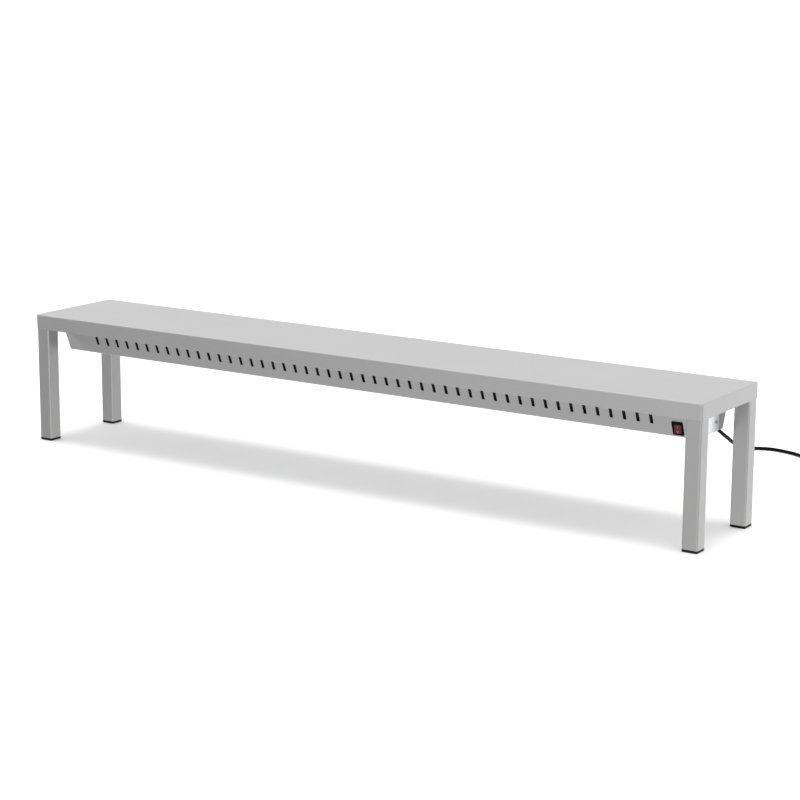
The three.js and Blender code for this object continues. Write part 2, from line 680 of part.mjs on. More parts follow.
function makeWiring() {
  const side = CHANNEL_INSIDE;
  const partitionTop = CHANNEL_CEILING - 2 * GAP; // clear of the channel's inner bends
  const partition = box(
    PARTITION_X, PARTITION_X + COVER_SHEET, -side, side, CHANNEL_BOTTOM, partitionTop,
  );
  place("wiring_partition", partition, "plainSteel");

  const cover = box(
    PARTITION_X + COVER_SHEET + GAP, CASING_END, -side, side,
    LIP_TOP + GAP, LIP_TOP + GAP + COVER_SHEET,
  );
  place("wiring_cover", cover, "brightSteel");

  const block = box(
    TERMINAL_X, TERMINAL_X + TERMINAL_LENGTH,
    -TERMINAL_WIDTH / 2, TERMINAL_WIDTH / 2,
    CHANNEL_CEILING - GAP - TERMINAL_HEIGHT, CHANNEL_CEILING - GAP,
  );
  place("terminal_block", block, "ceramic");

  const run = HANGER_BOTTOM + HANGER_SHEET + GAP + LEAD_DIAMETER / 2;
  const start = CHANNEL_CEILING - GAP - TERMINAL_HEIGHT / 2;
  const slotX = LEAD_SLOT_X + LEAD_SLOT_LENGTH / 2;
  for (const [name, y] of [["front", -LEAD_SPREAD / 2], ["rear", LEAD_SPREAD / 2]]) {
    const rise = tube(
      [
        [TERMINAL_X - GAP, y, start], [TERMINAL_X - 5, y, start + 0.5],
        [slotX + 6, y, CHANNEL_CEILING - 7], [slotX, y, CHANNEL_TOP], [slotX - 7, y, run - 0.8],
        [LEAD_SLOT_X - 4, y, run], [LEAD_SLOT_X - 20, y, run],
      ],
      LEAD_DIAMETER,
      8,
      12,
    );
    const straight = rod(
      [LEAD_SLOT_X - 18, y, run], [LEAD_FROM_END - CASING_END, y, run],
      LEAD_DIAMETER, LEAD_DIAMETER, 8,
    );
    place(`lamp_lead_${name}`, rise.add(straight), "leadSleeve");
  }
}

// ---- rocker switch ----

function makeSwitch() {
  const frame = new THREE.Group();
  frame.position.copy(SWITCH_PLACE);
  frame.setRotationFromMatrix(SWITCH_TURN);
  heatedShelf.add(frame);

  const bezel = upright(
    roundedRectangle(BEZEL_WIDTH, BEZEL_HEIGHT, BEZEL_RADIUS),
    GAP,
    GAP + BEZEL_THICKNESS,
  );
  const halfWidth = SWITCH_BODY_WIDTH / 2;
  const halfHeight = SWITCH_BODY_HEIGHT / 2;
  const body = box(-halfWidth, halfWidth, -halfHeight, halfHeight, -SWITCH_BODY_DEPTH, 2 * GAP);
  const pocketWidth = ROCKER_WIDTH / 2 + GAP;
  const pocketHeight = ROCKER_REACH + GAP;
  const pocket = box(
    -pocketWidth, pocketWidth, -pocketHeight, pocketHeight, -ROCKER_POCKET_DEPTH, 4 * BEZEL_THICKNESS,
  );
  place("switch_housing", bezel.add(body).subtract(pocket), "blackPlastic", frame);

  // The rocker's side view about its pivot: two shallow slopes that meet in a valley, and a rounded back.
  const tip = 0.9 * ROCKER_REACH;
  const side = tip + 0.3;
  const sideRise = 0.4 * ROCKER_TIP_RISE;
  const back = 0.75 * tip;
  const outline = polygon([
    [-tip, ROCKER_TIP_RISE], [0, ROCKER_VALLEY_RISE], [tip, ROCKER_TIP_RISE], [side, sideRise],
    [back, -ROCKER_BACK_DEPTH], [-back, -ROCKER_BACK_DEPTH], [-side, sideRise],
  ]);
  const rocker = place(
    "switch_rocker",
    alongX(outline, -ROCKER_WIDTH / 2, ROCKER_WIDTH / 2),
    "redLens",
    frame,
  );
  rocker.position.z = -ROCKER_PIVOT;
  rocker.rotation.x = -ROCKER_TILT * DEGREE;

  const bladeTop = -SWITCH_BODY_DEPTH - GAP;
  for (const [name, y] of [["upper", BLADE_SPREAD], ["middle", 0], ["lower", -BLADE_SPREAD]]) {
    const blade = box(
      -BLADE_WIDTH / 2, BLADE_WIDTH / 2,
      y - BLADE_THICKNESS / 2, y + BLADE_THICKNESS / 2,
      bladeTop - BLADE_LENGTH, bladeTop,
    );
    place(`switch_blade_${name}`, blade, "brass", frame);
  }
}

// ---- mains cord and plug ----

function makeStrainRelief() {
  const [x, wall, z] = reliefAt(0);
  const face = wall + GAP;
  const across = (from, to, diameter) => rod([x, from, z], [x, to, z], diameter, diameter, 20);
  const taper = rod(reliefAt(-RELIEF_BASE), reliefAt(RELIEF_LENGTH), RELIEF_BASE, RELIEF_TIP, 20);
  const behind = box(x - RELIEF_BASE, x + RELIEF_BASE, 0, face, 0, HEIGHT);
  const flange = across(face, face + GLAND_FLANGE_THICKNESS, GLAND_FLANGE);
  const nutFace = wall - CHANNEL_SHEET - GAP;
  const spigotEnd = nutFace - GLAND_NUT_THICKNESS - 1;
  const spigot = across(face + GLAND_FLANGE_THICKNESS / 2, spigotEnd, GLAND_SPIGOT);
  place("strain_relief", taper.subtract(behind).add(flange).add(spigot), "cordSheath");

  const nut = across(nutFace - GLAND_NUT_THICKNESS, nutFace, GLAND_NUT);
  const thread = across(spigotEnd - 1, nutFace + 1, GLAND_SPIGOT + 2 * GAP);
  place("gland_nut", nut.subtract(thread), "blackPlastic");
}

function makeCord() {
  const [middleX, middleY] = COIL_MIDDLE;
  const coilBottom = TIE_THICKNESS + GAP;
  const coilTop = coilBottom + CORD_DIAMETER + COIL_TURNS * COIL_RISE;
  const ring = (clearance) => {
    const inner = COIL_RADIUS - CORD_RADIUS - clearance;
    const outer = COIL_RADIUS + CORD_RADIUS + clearance;
    const bottom = coilBottom - clearance;
    const top = coilTop + clearance;
    const profile = [[inner, bottom], [outer, bottom], [outer, top], [inner, top], [inner, bottom]];
    return turned(profile, 40).translate(middleX, middleY, 0);
  };
  place("cord_coil", ring(0), "cordSheath");

  const start = reliefAt(RELIEF_LENGTH + GAP);
  const lead = tube([start, ...CORD_LEAD], CORD_DIAMETER, CORD_SIDES, CORD_LEAD_STEPS);
  place("power_cord", lead.subtract(ring(GAP)), "cordSheath");
  const tail = tube(CORD_TAIL, CORD_DIAMETER, CORD_SIDES, CORD_TAIL_STEPS);
  place("cord_tail", tail.subtract(ring(GAP)), "cordSheath");

  const outer = CORD_RADIUS + GAP;
  const curve = TIE_WIDTH ** 2 / (8 * (COIL_RADIUS - CORD_RADIUS)); // the coil's across the tie
  const inner = outer + curve;
  const wall = TIE_THICKNESS;
  const half = TIE_WIDTH / 2;
  const top = coilTop + GAP;
  const band = box(-inner - wall, outer + wall, -half, half, 0, top + wall);
  const hole = box(-inner, outer, -TIE_WIDTH, TIE_WIDTH, wall, top);
  const tie = place("cord_tie", band.subtract(hole), "blackPlastic");
  tie.position.set(
    middleX + COIL_RADIUS * Math.cos(TIE_ANGLE * DEGREE),
    middleY + COIL_RADIUS * Math.sin(TIE_ANGLE * DEGREE),
    0,
  );
  tie.rotation.z = TIE_ANGLE * DEGREE;
}

// Plug with its length along X, lying on the counter, its neck at the cord's end.
function makePlug() {
  const frame = new THREE.Group();
  const [neckX, neckY, neckZ] = CORD_TAIL.at(-1);
  frame.position.set(neckX, neckY, neckZ);
  frame.rotation.z = PLUG_HEADING * DEGREE;
  heatedShelf.add(frame);

  const gripStart = PLUG_NECK_LENGTH;
  const faceStart = gripStart + PLUG_GRIP_LENGTH;
  const front = faceStart + PLUG_FACE_LENGTH;
  const neck = PLUG_NECK_DIAMETER / 2;
  const grip = PLUG_GRIP_DIAMETER / 2;
  const rim = PLUG_DIAMETER / 2;
  const profile = [
    [0, GAP], [neck - 1, GAP], [neck, gripStart], [grip, gripStart + 3], [grip + 1, faceStart - 6],
    [rim - 1, faceStart], [rim, faceStart + 1], [rim, front], [0, front],
  ];
  const body = turned(profile, 24).rotate(0, 90, 0);
  const pinStart = front - PIN_DEPTH;
  const alongPin = (y, from, to, diameter) => rod([from, y, 0], [to, y, 0], diameter, diameter, 12);
  const pins = [["left", PIN_SPREAD / 2], ["right", -PIN_SPREAD / 2]];
  const holes = pins.map(([, y]) => alongPin(y, pinStart, front + 1, PIN_DIAMETER + 2 * GAP));
  place("plug_body", body.subtract(joined(holes)), "blackPlastic", frame);
  for (const [name, y] of pins) {
    const pin = alongPin(y, pinStart + GAP, front + PIN_LENGTH, PIN_DIAMETER);
    place(`plug_pin_${name}`, pin, "brass", frame);
  }
}

makeShelf();
for (const [name, sideX, sideY] of CORNERS) {
  const frame = cornerFrame(sideX, sideY);
  makeLeg(name, frame);
  makeLegBracket(name, frame);
}
makeCasing();
makeChannel();
makeChannelEnd("left", -1);
makeChannelEnd("right", 1);
makeReflector();
for (let number = 1; number <= LAMP_COUNT; number++) {
  makeLamp(number);
  makeGuard(number);
}
makeWiring();
makeSwitch();
makeStrainRelief();
makeCord();
makePlug();

export default heatedShelf;
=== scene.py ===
import json
import math

import bmesh
import bpy
from mathutils import Matrix, Vector
from mathutils.geometry import delaunay_2d_cdt


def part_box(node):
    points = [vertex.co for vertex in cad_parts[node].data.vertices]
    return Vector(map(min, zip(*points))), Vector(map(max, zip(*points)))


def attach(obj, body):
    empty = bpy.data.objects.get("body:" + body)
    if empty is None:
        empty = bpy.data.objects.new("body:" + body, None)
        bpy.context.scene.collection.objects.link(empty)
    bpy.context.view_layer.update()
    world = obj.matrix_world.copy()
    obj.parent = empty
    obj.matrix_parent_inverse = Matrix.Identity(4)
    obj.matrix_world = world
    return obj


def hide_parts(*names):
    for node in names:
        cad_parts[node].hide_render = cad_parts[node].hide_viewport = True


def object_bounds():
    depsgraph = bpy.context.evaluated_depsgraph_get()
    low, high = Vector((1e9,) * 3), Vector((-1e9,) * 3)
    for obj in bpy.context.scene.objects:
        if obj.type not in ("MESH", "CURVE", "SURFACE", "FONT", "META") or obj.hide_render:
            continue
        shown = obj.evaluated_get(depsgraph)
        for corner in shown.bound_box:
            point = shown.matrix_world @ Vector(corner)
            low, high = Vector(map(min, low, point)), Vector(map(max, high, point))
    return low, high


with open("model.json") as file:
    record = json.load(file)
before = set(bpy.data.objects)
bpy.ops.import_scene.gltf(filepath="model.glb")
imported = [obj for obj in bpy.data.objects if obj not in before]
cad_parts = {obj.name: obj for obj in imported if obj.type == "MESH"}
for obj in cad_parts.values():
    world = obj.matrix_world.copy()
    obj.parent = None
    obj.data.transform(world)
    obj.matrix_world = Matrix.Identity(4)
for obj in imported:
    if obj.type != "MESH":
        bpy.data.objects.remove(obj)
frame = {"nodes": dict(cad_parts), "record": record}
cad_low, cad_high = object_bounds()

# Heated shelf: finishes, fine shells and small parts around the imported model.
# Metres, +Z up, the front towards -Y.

MM = 0.001
GAP = 0.3 * MM  # clearance between neighbouring pieces, as in the frame
UP = Vector((0, 0, 1))

# ---- camera ----

CAMERA_PLACE = (3.0597, -4.5005, 1.3926)
CAMERA_AZIMUTH = 33.408  # degrees from +Y towards -X
CAMERA_PITCH = -12.276
CAMERA_ROLL = 0.311
CAMERA_LENS = 98.26  # mm
CAMERA_SENSOR = 36  # mm
CAMERA_REACH = 300  # metres


def make_camera():
    data = bpy.data.cameras.new("camera")
    data.lens = CAMERA_LENS
    data.sensor_width = CAMERA_SENSOR
    data.clip_end = CAMERA_REACH
    azimuth, pitch, roll = (math.radians(a) for a in (CAMERA_AZIMUTH, CAMERA_PITCH, CAMERA_ROLL))
    look = Vector((
        -math.sin(azimuth) * math.cos(pitch),
        math.cos(azimuth) * math.cos(pitch),
        math.sin(pitch),
    ))
    level = Vector((math.cos(azimuth), math.sin(azimuth), 0))
    upright = level.cross(look)
    right = level * math.cos(roll) + upright * math.sin(roll)
    up = upright * math.cos(roll) - level * math.sin(roll)
    camera = bpy.data.objects.new("camera", data)
    turn = Matrix((right, up, -look)).transposed()
    camera.matrix_world = Matrix.Translation(CAMERA_PLACE) @ turn.to_4x4()
    bpy.context.scene.collection.objects.link(camera)
    bpy.context.scene.camera = camera


make_camera()

# ---- materials ----


class Nodes:
    """Node tree of a new material around its Principled shader."""

    def __init__(self, name, color, roughness, metallic=0.0):
        self.material = bpy.data.materials.new(name)
        self.material.use_nodes = True
        self.tree = self.material.node_tree
        self.shader = self.tree.nodes["Principled BSDF"]
        self.shader.inputs["Base Color"].default_value = (*color, 1)
        self.shader.inputs["Roughness"].default_value = roughness
        self.shader.inputs["Metallic"].default_value = metallic
        self.place = self.tree.nodes.new("ShaderNodeTexCoord").outputs["Object"]

    def set(self, **values):
        for name, value in values.items():
            self.shader.inputs[name.replace("_", " ")].default_value = value
        return self

    def noise(self, scale, detail, stretch=(1, 1, 1)):
        """Noise between 0 and 1, its features 1/scale metres across, divided by stretch along each axis."""
        mapping = self.tree.nodes.new("ShaderNodeMapping")
        mapping.inputs["Scale"].default_value = stretch
        noise = self.tree.nodes.new("ShaderNodeTexNoise")
        noise.inputs["Scale"].default_value = scale
        noise.inputs["Detail"].default_value = detail
        self.tree.links.new(self.place, mapping.inputs["Vector"])
        self.tree.links.new(mapping.outputs["Vector"], noise.inputs["Vector"])
        return noise.outputs["Fac"]

    def between(self, value, low, high, start=0.3, stop=0.7):
        """The value stretched from start..stop to low..high."""
        ranged = self.tree.nodes.new("ShaderNodeMapRange")
        ranged.inputs["From Min"].default_value = start
        ranged.inputs["From Max"].default_value = stop
        ranged.inputs["To Min"].default_value = low
        ranged.inputs["To Max"].default_value = high
        self.tree.links.new(value, ranged.inputs["Value"])
        return ranged.outputs["Result"]

    def product(self, a, b):
        times = self.tree.nodes.new("ShaderNodeMath")
        times.operation = "MULTIPLY"
        self.tree.links.new(a, times.inputs[0])
        self.tree.links.new(b, times.inputs[1])
        return times.outputs["Value"]

    def tint(self, color, shade):
        """Base colour scaled by the shade value."""
        scale = self.tree.nodes.new("ShaderNodeVectorMath")
        scale.operation = "SCALE"
        scale.inputs[0].default_value = color
        self.tree.links.new(shade, scale.inputs["Scale"])
        self.tree.links.new(scale.outputs["Vector"], self.shader.inputs["Base Color"])
        return self

    def blend(self, first, second, value):
        """Base colour between two colours."""
        mix = self.tree.nodes.new("ShaderNodeMix")
        mix.data_type = "RGBA"
        mix.inputs["A"].default_value = (*first, 1)
        mix.inputs["B"].default_value = (*second, 1)
        self.tree.links.new(value, mix.inputs["Factor"])
        self.tree.links.new(mix.outputs["Result"], self.shader.inputs["Base Color"])
        return self

    def roughness(self, value):
        self.tree.links.new(value, self.shader.inputs["Roughness"])
        return self

    def bump(self, height, depth, strength):
        """Relief of the given depth in metres."""
        bump = self.tree.nodes.new("ShaderNodeBump")
        bump.inputs["Strength"].default_value = strength
        bump.inputs["Distance"].default_value = depth
        self.tree.links.new(height, bump.inputs["Height"])
        self.tree.links.new(bump.outputs["Normal"], self.shader.inputs["Normal"])
        return self


ALONG_X = (0.02, 1, 1)  # stretches of grain lines
ALONG_Z = (1, 1, 0.02)
SATIN_SMOOTH = 0.33  # roughness between and on the grain's lines
SATIN_ROUGH = 0.43
SATIN_SPREAD = 0.3  # how much wider the gloss is across the grain


def satin_steel(name, color, grain, course):
    """Stainless sheet with a fine grain in one direction, and slow changes of tone over it.

    Its gloss spreads across the grain's course, which turns upright on the ends of the sheet."""
    nodes = Nodes(name, color, SATIN_SMOOTH, 1.0).set(Anisotropic=SATIN_SPREAD)
    across = nodes.tree.nodes.new("ShaderNodeVectorMath")
    across.operation = "CROSS_PRODUCT"
    across.inputs[1].default_value = course
    normal = nodes.tree.nodes.new("ShaderNodeNewGeometry").outputs["Normal"]
    nodes.tree.links.new(normal, across.inputs[0])
    nodes.tree.links.new(across.outputs["Vector"], nodes.shader.inputs["Tangent"])
    lines = nodes.noise(1100, 3.0, grain)
    clouds = nodes.noise(5, 2.0)
    nodes.tint(color, nodes.product(nodes.between(lines, 0.965, 1.02), nodes.between(clouds, 0.985, 1.01)))
    nodes.roughness(nodes.between(lines, SATIN_SMOOTH, SATIN_ROUGH))
    return nodes.bump(lines, 0.02 * MM, 0.5).material


def mill_steel(name, color):
    nodes = Nodes(name, color, 0.5, 1.0)
    patches = nodes.noise(160, 4.0)
    nodes.tint(color, nodes.between(patches, 0.9, 1.06))
    return nodes.roughness(nodes.between(patches, 0.4, 0.58)).material


def bright_steel():
    color = (0.94, 0.955, 0.975)
    nodes = Nodes("bright_steel", color, 0.25, 1.0)
    lines = nodes.noise(700, 2.0, ALONG_X)
    nodes.tint(color, nodes.between(lines, 0.97, 1.01))
    return nodes.roughness(nodes.between(lines, 0.22, 0.34)).material


def zinc_steel():
    color = (0.40, 0.42, 0.43)
    nodes = Nodes("zinc_plate", color, 0.4, 1.0)
    grains = nodes.noise(900, 3.0)
    nodes.tint(color, nodes.between(grains, 0.88, 1.08))
    return nodes.roughness(nodes.between(grains, 0.32, 0.5)).material


def moulded_plastic(name, color, roughness, depth=0.02 * MM, gloss=0.5):
    """Plastic with a fine spark-eroded grain."""
    nodes = Nodes(name, color, roughness).set(Specular_IOR_Level=gloss)
    grain = nodes.noise(1800, 2.0)
    clouds = nodes.noise(40, 2.0)
    nodes.tint(color, nodes.between(clouds, 0.9, 1.1))
    nodes.roughness(nodes.between(grain, roughness - 0.06, roughness + 0.08))
    return nodes.bump(grain, depth, 0.6).material


def red_lens():
    """Red plastic that lets a little light through, with slow changes of depth."""
    color = (0.15, 0.004, 0.012)
    nodes = Nodes("red_lens", color, 0.25)
    nodes.set(Transmission_Weight=0.2, Coat_Weight=0.15, Coat_Roughness=0.1, Specular_IOR_Level=0.35)
    clouds = nodes.noise(220, 2.0)
    return nodes.tint(color, nodes.between(clouds, 0.75, 1.2)).material


def quartz():
    nodes = Nodes("quartz", (0.95, 0.96, 0.97), 0.06)
    nodes.set(Transmission_Weight=1.0, IOR=1.46)
    return nodes.roughness(nodes.between(nodes.noise(260, 2.0), 0.03, 0.1)).material


def heating_wire():
    nodes = Nodes("heating_wire", (0.20, 0.17, 0.15), 0.5, 1.0)
    oxide = nodes.between(nodes.noise(1500, 3.0), 0, 1)
    return nodes.blend((0.13, 0.10, 0.09), (0.28, 0.24, 0.21), oxide).material


def ceramic():
    color = (0.80, 0.76, 0.68)
    nodes = Nodes("steatite", color, 0.55)
    grains = nodes.noise(1400, 3.0)
    nodes.tint(color, nodes.between(nodes.noise(90, 2.0), 0.94, 1.03))
    return nodes.bump(grains, 0.03 * MM, 0.5).material


def braided_sleeve():
    color = (0.70, 0.65, 0.55)
    nodes = Nodes("braided_sleeve", color, 0.85)
    weave = nodes.tree.nodes.new("ShaderNodeTexVoronoi")
    weave.inputs["Scale"].default_value = 1600
    nodes.tree.links.new(nodes.place, weave.inputs["Vector"])
    nodes.tint(color, nodes.between(weave.outputs["Distance"], 1.05, 0.8, 0.0, 0.6))
    return nodes.bump(weave.outputs["Distance"], 0.1 * MM, 0.7).material


def polished_brass():
    color = (0.72, 0.51, 0.22)
    nodes = Nodes("brass", color, 0.25, 1.0)
    nodes.tint(color, nodes.between(nodes.noise(500, 2.0), 0.92, 1.04))
    return nodes.roughness(nodes.between(nodes.noise(900, 2.0), 0.18, 0.34)).material


JET_BLACK = (0.003, 0.003, 0.0035)
MATERIALS = {
    "satin_steel": satin_steel("satin_steel", (0.56, 0.56, 0.562), ALONG_X, (1, 0, 0.02)),
    "plain_steel": mill_steel("mill_steel", (0.46, 0.47, 0.48)),
    "bright_steel": bright_steel(),
    "zinc_steel": zinc_steel(),
    "black_plastic": moulded_plastic("black_plastic", (0.006, 0.006, 0.007), 0.5, gloss=0.2),
    "red_lens": red_lens(),
    "quartz": quartz(),
    "heating_wire": heating_wire(),
    "ceramic": ceramic(),
    "lead_sleeve": braided_sleeve(),
    "cord_sheath": moulded_plastic("cord_sheath", JET_BLACK, 0.45, 0.01 * MM, gloss=0.06),
    "brass": polished_brass(),
}
LEG_STEEL = satin_steel("leg_steel", (0.535, 0.531, 0.53), ALONG_Z, (0, 0, 1))
CHANNEL_STEEL = mill_steel("heat_darkened_steel", (0.19, 0.185, 0.18))
SWITCH_BLACK = moulded_plastic("switch_black", JET_BLACK, 0.45, gloss=0.06)
MARK_WHITE = moulded_plastic("mark_white", (0.46, 0.34, 0.34), 0.4)

# ---- pieces ----


def add(piece, slot, *nodes, body="shelf", material=None):
    """Puts a new piece on its body, with the finish of its slot or its own, in place of the CAD nodes."""
    bpy.context.scene.collection.objects.link(piece)
    piece.data.materials.append(material or MATERIALS[slot])
    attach(piece, body)
    if nodes:
        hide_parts(*nodes)
    return piece


def mesh_object(name, work, matrix=None, sharp=35):
    """Object of a finished bmesh: smooth but for edges sharper than the angle in degrees."""
    bmesh.ops.recalc_face_normals(work, faces=work.faces)
    if matrix is not None:
        bmesh.ops.transform(work, matrix=matrix, verts=work.verts)
    for face in work.faces:
        face.smooth = True
    limit = math.radians(sharp)
    for edge in work.edges:
        edge.smooth = len(edge.link_faces) == 2 and edge.calc_face_angle() < limit
    mesh = bpy.data.meshes.new(name)
    work.to_mesh(mesh)
    work.free()
    return bpy.data.objects.new(name, mesh)


def rounded_ring(half_x, half_y, radius, z, segments=6, support=1 * MM):
    """Rounded rectangle about the origin. Points just beyond each arc keep the flat sides flat."""
    points = []
    for corner, (side_x, side_y) in enumerate(((1, 1), (-1, 1), (-1, -1), (1, -1))):
        centre = Vector((side_x * (half_x - radius), side_y * (half_y - radius), z))
        turn = math.pi / 2 * corner
        start = Vector((math.cos(turn), math.sin(turn), 0))
        stop = Vector((-math.sin(turn), math.cos(turn), 0))
        points.append(centre + start * radius - stop * support)
        for k in range(segments + 1):
            angle = math.pi / 2 * k / segments
            points.append(centre + (start * math.cos(angle) + stop * math.sin(angle)) * radius)
        points.append(centre + stop * radius - start * support)
    return points


def circle_ring(radius, z, segments):
    turn = 2 * math.pi / segments
    return [Vector((radius * math.cos(turn * k), radius * math.sin(turn * k), z)) for k in range(segments)]


def bridge(work, loops):
    """Skin over loops of vertices of equal counts, open at both ends."""
    for low, high in zip(loops, loops[1:]):
        for k in range(len(low)):
            n = (k + 1) % len(low)
            work.faces.new((low[k], low[n], high[n], high[k]))


def loft(rings, work=None, closed=False):
    """Skin over rings of equal point counts, with a face over each end, or closed on itself."""
    work = work or bmesh.new()
    rows = [[work.verts.new(point) for point in ring] for ring in rings]
    if closed:
        bridge(work, [*rows, rows[0]])
    else:
        bridge(work, rows)
        work.faces.new(rows[0][::-1])
        work.faces.new(rows[-1])
    return work


def lathe(profile, segments):
    """Solid of revolution about Z of a profile of (radius, z), with a flat face at each end."""
    return loft([circle_ring(radius, z, segments) for radius, z in profile])


def arc(centre, radius, start, stop, segments):
    """Points (a, b) on an arc between two angles in degrees."""
    angles = [math.radians(start + (stop - start) * k / segments) for k in range(segments + 1)]
    return [(centre[0] + radius * math.cos(a), centre[1] + radius * math.sin(a)) for a in angles]


def towards(place, direction, up=UP):
    """Matrix that takes +Z to a direction and the origin to a place."""
    z = Vector(direction).normalized()
    x = up.cross(z).normalized()
    turn = Matrix((x, z.cross(x), z)).transposed()
    return Matrix.Translation(place) @ turn.to_4x4()


# ---- mains cord ----

CORD_DIAMETER = 9 * MM
CORD_DIP = math.radians(30.5)  # below level where the cord leaves
RELIEF_LENGTH = 32 * MM
RELIEF_BASE = 5.8 * MM  # radii at the wall and at the tip
RELIEF_TIP = 4.8 * MM
GLAND_FROM_END = 10 * MM
GLAND_RISE = 9.5 * MM  # above the casing's underside
CORD_INSIDE = 5 * MM  # of cord hidden in the strain relief and in the plug
CORD_LEAD = [
    (0.940, 0.090, 0.2286), (0.9405, 0.112, 0.2162), (0.9405, 0.137, 0.2026), (0.9395, 0.176, 0.1805),
    (0.935, 0.222, 0.1495), (0.926, 0.268, 0.112), (0.912, 0.312, 0.0744), (0.893, 0.355, 0.041),
    (0.871, 0.398, 0.0185), (0.846, 0.446, 0.0077), (0.811, 0.502, 0.005), (0.775, 0.562, 0.0048),
    (0.742, 0.626, 0.0048), (0.714, 0.690, 0.0048), (0.690, 0.750, 0.0048), (0.673, 0.800, 0.0048),
    (0.669, 0.834, 0.0048), (0.680, 0.858, 0.0048), (0.700, 0.8705, 0.0048), (0.723, 0.877, 0.0048),
    (0.746, 0.876, 0.0048), (0.775, 0.870, 0.0048), (0.804, 0.860, 0.0048), (0.828, 0.845, 0.0048),
    (0.849, 0.826, 0.005),
]
COIL_MIDDLE = Vector((0.8996, 0.8412, 0))
COIL_RADIUS = 46 * MM
COIL_TURNS = 3.1
COIL_START = math.radians(-129.1)
COIL_BOTTOM = 5.8 * MM  # the cord's middle where the first turn begins
COIL_RISE = 1.01 * CORD_DIAMETER  # from one turn to the next
COIL_POINTS = 16  # in a turn
CORD_TAIL = [
    (0.917, 0.7936, 0.0324), (0.936, 0.788, 0.0262), (0.953, 0.777, 0.0197), (0.965, 0.762, 0.0186),
]
PLUG_HEADING = math.radians(-51.3)

CASING_LOW, CASING_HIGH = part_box("lamp_casing")
CHANNEL_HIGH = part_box("lamp_channel")[1]
GLAND_PLACE = Vector((CASING_HIGH.x - GLAND_FROM_END, CHANNEL_HIGH.y, CASING_LOW.z + GLAND_RISE))
RELIEF_DIRECTION = Vector((0, math.cos(CORD_DIP), -math.sin(CORD_DIP)))


def cord_route():
    """Points of the whole cord, from inside the strain relief to inside the plug's neck."""
    tip = GLAND_PLACE + RELIEF_DIRECTION * (RELIEF_LENGTH + GAP)
    route = [tip - RELIEF_DIRECTION * CORD_INSIDE, tip, *map(Vector, CORD_LEAD)]
    for k in range(round(COIL_TURNS * COIL_POINTS) + 1):
        turn = k / COIL_POINTS
        angle = COIL_START + 2 * math.pi * turn
        around = Vector((math.cos(angle), math.sin(angle), 0)) * COIL_RADIUS
        route.append(COIL_MIDDLE + around + UP * (COIL_BOTTOM + COIL_RISE * turn))
    heading = Vector((math.cos(PLUG_HEADING), math.sin(PLUG_HEADING), 0))
    route += [*map(Vector, CORD_TAIL), Vector(CORD_TAIL[-1]) + heading * CORD_INSIDE]
    return route


def make_cord():
    curve = bpy.data.curves.new("mains_cord", "CURVE")
    curve.dimensions = "3D"
    curve.bevel_depth = CORD_DIAMETER / 2
    curve.bevel_resolution = 4
    curve.resolution_u = 8
    curve.use_fill_caps = True
    route = cord_route()
    spline = curve.splines.new("BEZIER")
    spline.bezier_points.add(len(route) - 1)
    for knot, point in zip(spline.bezier_points, route):
        knot.co = point
        knot.handle_left_type = knot.handle_right_type = "AUTO"
    cord = bpy.data.objects.new("mains_cord", curve)
    return add(cord, "cord_sheath", "power_cord", "cord_coil", "cord_tail")


def length_of(points):
    return sum((b - a).length for a, b in zip(points, points[1:]))


cord = make_cord()

# ---- shelf, legs and feet ----

SHELF_SHEET = 1.2 * MM
CORNER_RADIUS = 5 * MM  # upright corners of the skirt
TOP_BEND = 3 * MM  # from the top into the skirt
LEG_RADIUS = 3.5 * MM
LEG_WALL = 1.5 * MM
FOOT_HEIGHT = 6 * MM
FOOT_WALL = 2.5 * MM
FOOT_HOLLOW_RADIUS = 1 * MM
FOOT_ROUND = 1.2 * MM  # round its sole
FOOT_SHOULDER = 0.5 * MM  # round its top
FOOT_TAPER = 1 * MM  # where its plug enters the leg
EDGE = 0.3 * MM  # broken edges of cut sheet
TOP_SUPPORT = 2 * MM  # flat rims beside the top's bend, which keep the shading flat
SKIRT_SUPPORT = 1 * MM


def bend_rings(half_x, half_y, corner, bend, top):
    """Rings from a flat top down round its bend to the start of the skirt."""
    rim = bend + TOP_SUPPORT
    rings = [rounded_ring(half_x - rim, half_y - rim, corner - bend, top)]
    for across, down in arc((-bend, -bend), bend, 90, 0, 6):
        rings.append(rounded_ring(half_x + across, half_y + across, corner + across, top + down))
    rings.append(rounded_ring(half_x, half_y, corner, top - bend - SKIRT_SUPPORT))
    return rings


def make_shelf():
    low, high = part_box("shelf_tray")
    half_x, half_y = high.x, high.y
    rings = bend_rings(half_x, half_y, CORNER_RADIUS, TOP_BEND, high.z)
    rings.append(rounded_ring(half_x, half_y, CORNER_RADIUS, low.z + EDGE))
    rings.append(rounded_ring(half_x - EDGE, half_y - EDGE, CORNER_RADIUS - EDGE, low.z))
    inner_x, inner_y, inner = half_x - SHELF_SHEET, half_y - SHELF_SHEET, CORNER_RADIUS - SHELF_SHEET
    rings.append(rounded_ring(inner_x + EDGE, inner_y + EDGE, inner + EDGE, low.z))
    rings.append(rounded_ring(inner_x, inner_y, inner, low.z + EDGE))
    rings += bend_rings(inner_x, inner_y, inner, TOP_BEND - SHELF_SHEET, high.z - SHELF_SHEET)[::-1]
    add(mesh_object("shelf_sheet", loft(rings)), "satin_steel", "shelf_tray")


def square_ring(half, radius, inset, z):
    return rounded_ring(half - inset, half - inset, radius - inset, z)


